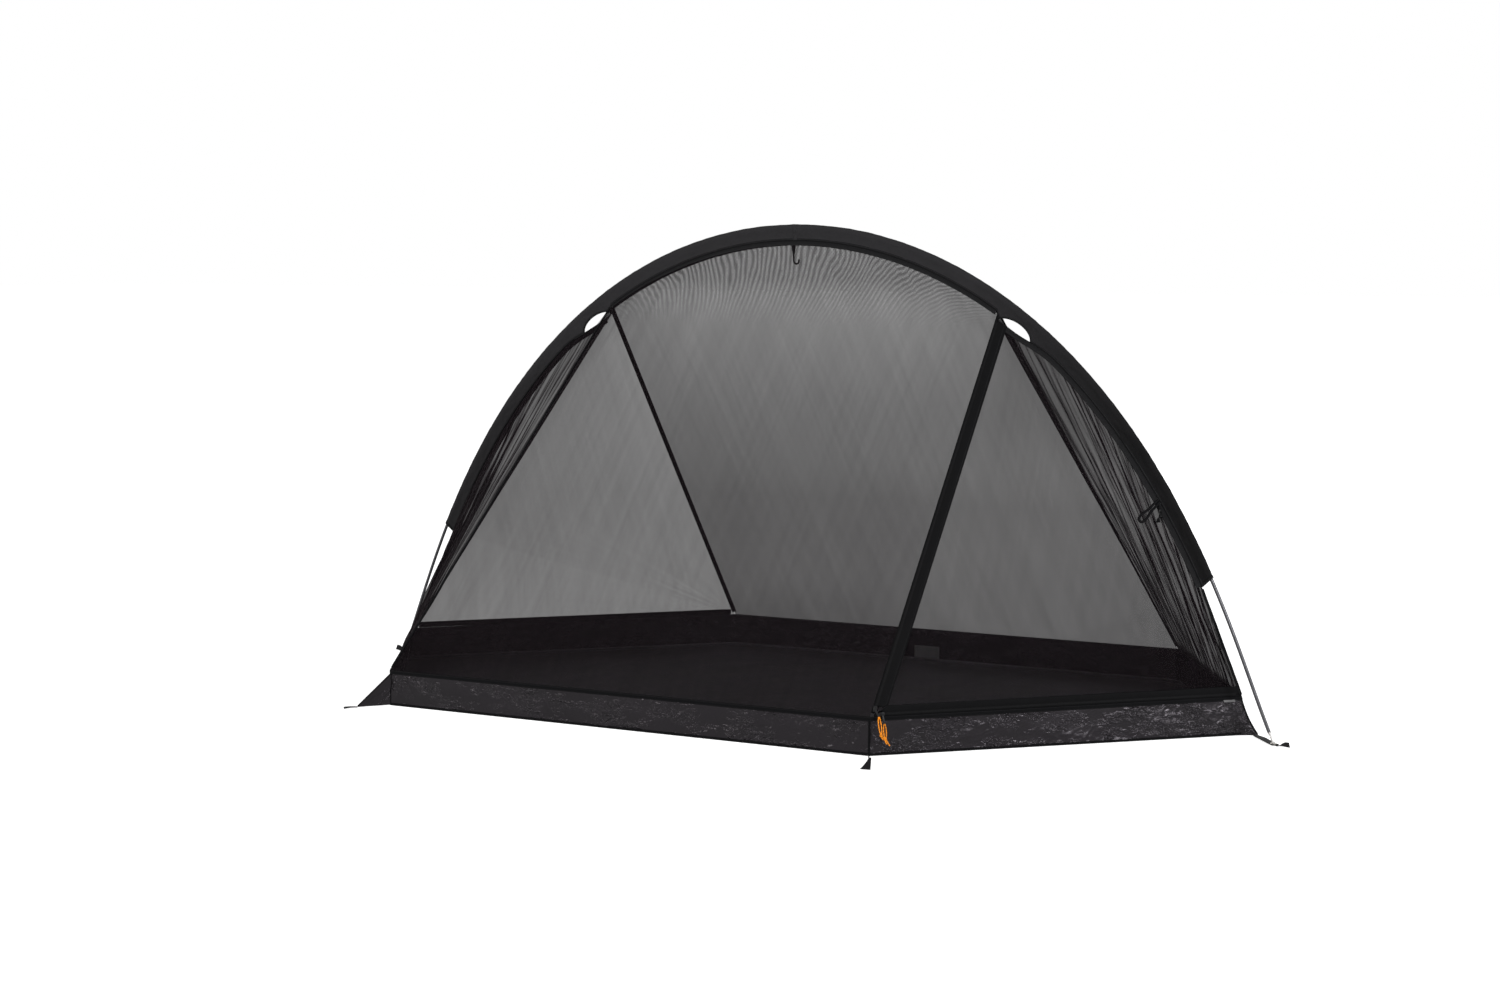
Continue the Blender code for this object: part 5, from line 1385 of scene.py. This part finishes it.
def make_hook():
    """Moulded hook on a short tab under the apex."""
    centre, _, outward = hoop_frame(np.array([-0.005]))
    top = (centre - outward * (SLEEVE_DEPTH + SEAM_INSET))[0]
    top[1] = 0.0
    top = top - UP * 0.0045
    low = top - UP * 0.0430
    points = [top, top - UP * 0.010, low + UP * 0.010, low]
    for k in range(1, 17):
        turn = math.pi + math.pi * 1.1 * k / 16
        points.append(low + np.array([1.0 + math.cos(turn), 0.0, math.sin(turn)]) * 0.0068)
    path, _ = smooth_path(points, 50)
    curve_line("lantern_hook", path, 0.0023, BLACK, "hook", 4, replaces="apex_hook")
    ball = [(0.0, 0.0024), (0.0017, 0.0017), (0.0024, 0.0), (0.0017, -0.0017), (0.0, -0.0024)]
    turned_mesh("lantern_hook_end", ball, Matrix.Translation(Vector(path[-1])), "hook", 18)
    tab = np.stack([[top + np.array([x, y, z]) for z in (0.0085, 0.006, 0.003, 0.0013)]
                    for x, y in ((-0.005, 0.0), (-0.0025, -0.0004), (0.0, -0.0005),
                                 (0.0025, -0.0004), (0.005, 0.0))])
    cloth("hook_tab", tab, WEBBING, 0.0008)
    sides = ((0.0002, 0.0050), (0.008, 0.0050), (0.016, 0.0044), (0.022, 0.0034), (0.026, 0.0024))
    tape = np.stack([[top + np.array([x * half, y, -z]) for z, half in sides] for x, y in (
        (-1.0, 0.0), (-0.5, -0.0016), (0.0, -0.0022), (0.5, -0.0016), (1.0, 0.0))])
    cloth("hook_tape", tape, WEBBING, 0.0008, body="hook")


def wall_label(name, finish, thickness, k, shares, heights, lift, replaces=""):
    """Small sheet on the outside of wall k; negative lift puts it inside."""
    foot = lerp(FLOOR[k], FLOOR[k + 1], shares)
    top = lerp(TOP[k], TOP[k + 1], shares)
    points = foot[:, None, :] + (top - foot)[:, None, :] * (heights / WALL_HEIGHT)[None, :, None]
    out = unit(np.cross(FLOOR[k + 1] - FLOOR[k], top[0] - foot[0]))
    cloth(name, points + out * lift, finish, thickness, replaces)


def make_labels():
    length = float(np.linalg.norm(TOP[2] - TOP[1]))
    wall_label("blank_care_label", LABEL, 0.0003, 1, 1 - np.linspace(0.048, 0.020, 12) / length,
               WALL_HEIGHT - np.linspace(0.0105, 0.0055, 6), 0.0036, "care_label")
    wall_label("blank_wall_patch", PATCH, 0.0004, 3, np.linspace(0.516, 0.573, 16),
               np.linspace(0.006, 0.042, 8), -0.0040)


# Stage, light and camera


def light_rays(tree):
    """1 for what the eye sees, also in gloss and through glass; 0 for lighting."""
    rays = [node(tree, "ShaderNodeLightPath", output="Is " + kind + " Ray")
            for kind in ("Camera", "Glossy", "Transmission")]
    return calc("MAXIMUM", calc("MAXIMUM", rays[0], rays[1]), rays[2])


def make_stage():
    data = bpy.data.meshes.new("studio_floor")
    data.from_pydata([(-40, -40, 0), (40, -40, 0), (40, 40, 0), (-40, 40, 0)], [], [(0, 1, 2, 3)])
    made, _, _ = new_material("studio_floor")
    dress(made, (0.80, 0.80, 0.80, 1.0), 0.9, 0.0, [], {
        "Emission Color": (1.0, 1.0, 1.0, 1.0),
        "Emission Strength": light_rays(made.node_tree) * 0.70})
    floor = put("studio_floor", data, made)
    floor.location.z = -0.0004

    world = bpy.data.worlds.new("studio")
    bpy.context.scene.world = world
    world.use_nodes = True
    feed(world.node_tree.nodes["Background"], {
        "Color": (1.0, 1.0, 1.0, 1.0), "Strength": light_rays(world.node_tree) * 0.60 + 0.40})


def add_object(name, data, place, look):
    item = bpy.data.objects.new(name, data)
    bpy.context.scene.collection.objects.link(item)
    item.location = place
    item.rotation_euler = look.to_track_quat("-Z", "Y").to_euler()
    return item


def make_lights():
    for name, place, target, size, power, colour in (
            ("key", (-2.3, -4.5, 2.7), (0.1, -0.3, 0.2), (1.3, 1.3), 170.0, (1.0, 0.985, 0.97)),
            ("fill", (4.5, -2.7, 1.7), (0.6, 0.0, 0.1), (0.9, 0.9), 172.0, (0.98, 0.98, 1.0)),
            ("back", (1.2, 4.6, 3.6), (0.0, 0.0, 0.3), (3.0, 2.4), 90.0, (1.0, 1.0, 1.0))):
        data = bpy.data.lights.new(name, "AREA")
        data.shape = "RECTANGLE"
        data.size, data.size_y = size
        data.energy = power
        data.color = colour
        add_object(name, data, place, Vector(target) - Vector(place))


def make_camera():
    data = bpy.data.cameras.new("camera")
    data.lens = 43.2
    data.sensor_width = 36.0
    data.clip_end = 200.0
    pitch = math.radians(7.9457)
    look = Vector((-0.40523, 0.91421, 0.0)).normalized() * math.cos(pitch)
    look.z = -math.sin(pitch)
    bpy.context.scene.camera = add_object("camera", data, (1.6638, -4.0231, 1.0916), look)


bpy.context.scene.view_settings.view_transform = "Standard"
make_camera()
make_slider("side", beside_first, SIDE_SLIDER_REST, 0.89, 0.02, math.radians(36.0), 0.30, 0.060,
            0.38)
make_slider("bottom", beside_last, BOTTOM_SLIDER_REST, 0.80, SPREAD - 0.02, math.radians(8.0),
            0.22, 0.054, 0.10)
make_tieback()
make_peg_loops()
make_pole()
make_floor()
make_walls()
sleeve_half("right", STILL, 2.0, SLEEVE_PAINTED_SHADE)
sleeve_half("left", HALF, 12.0, SLEEVE_CLOTH)
sleeve_trims()
make_net()
make_bindings()
make_hems()
make_zips()
make_straps()
make_fins()
make_hook()
make_labels()
make_stage()
make_lights()
bpy.context.view_layer.update()
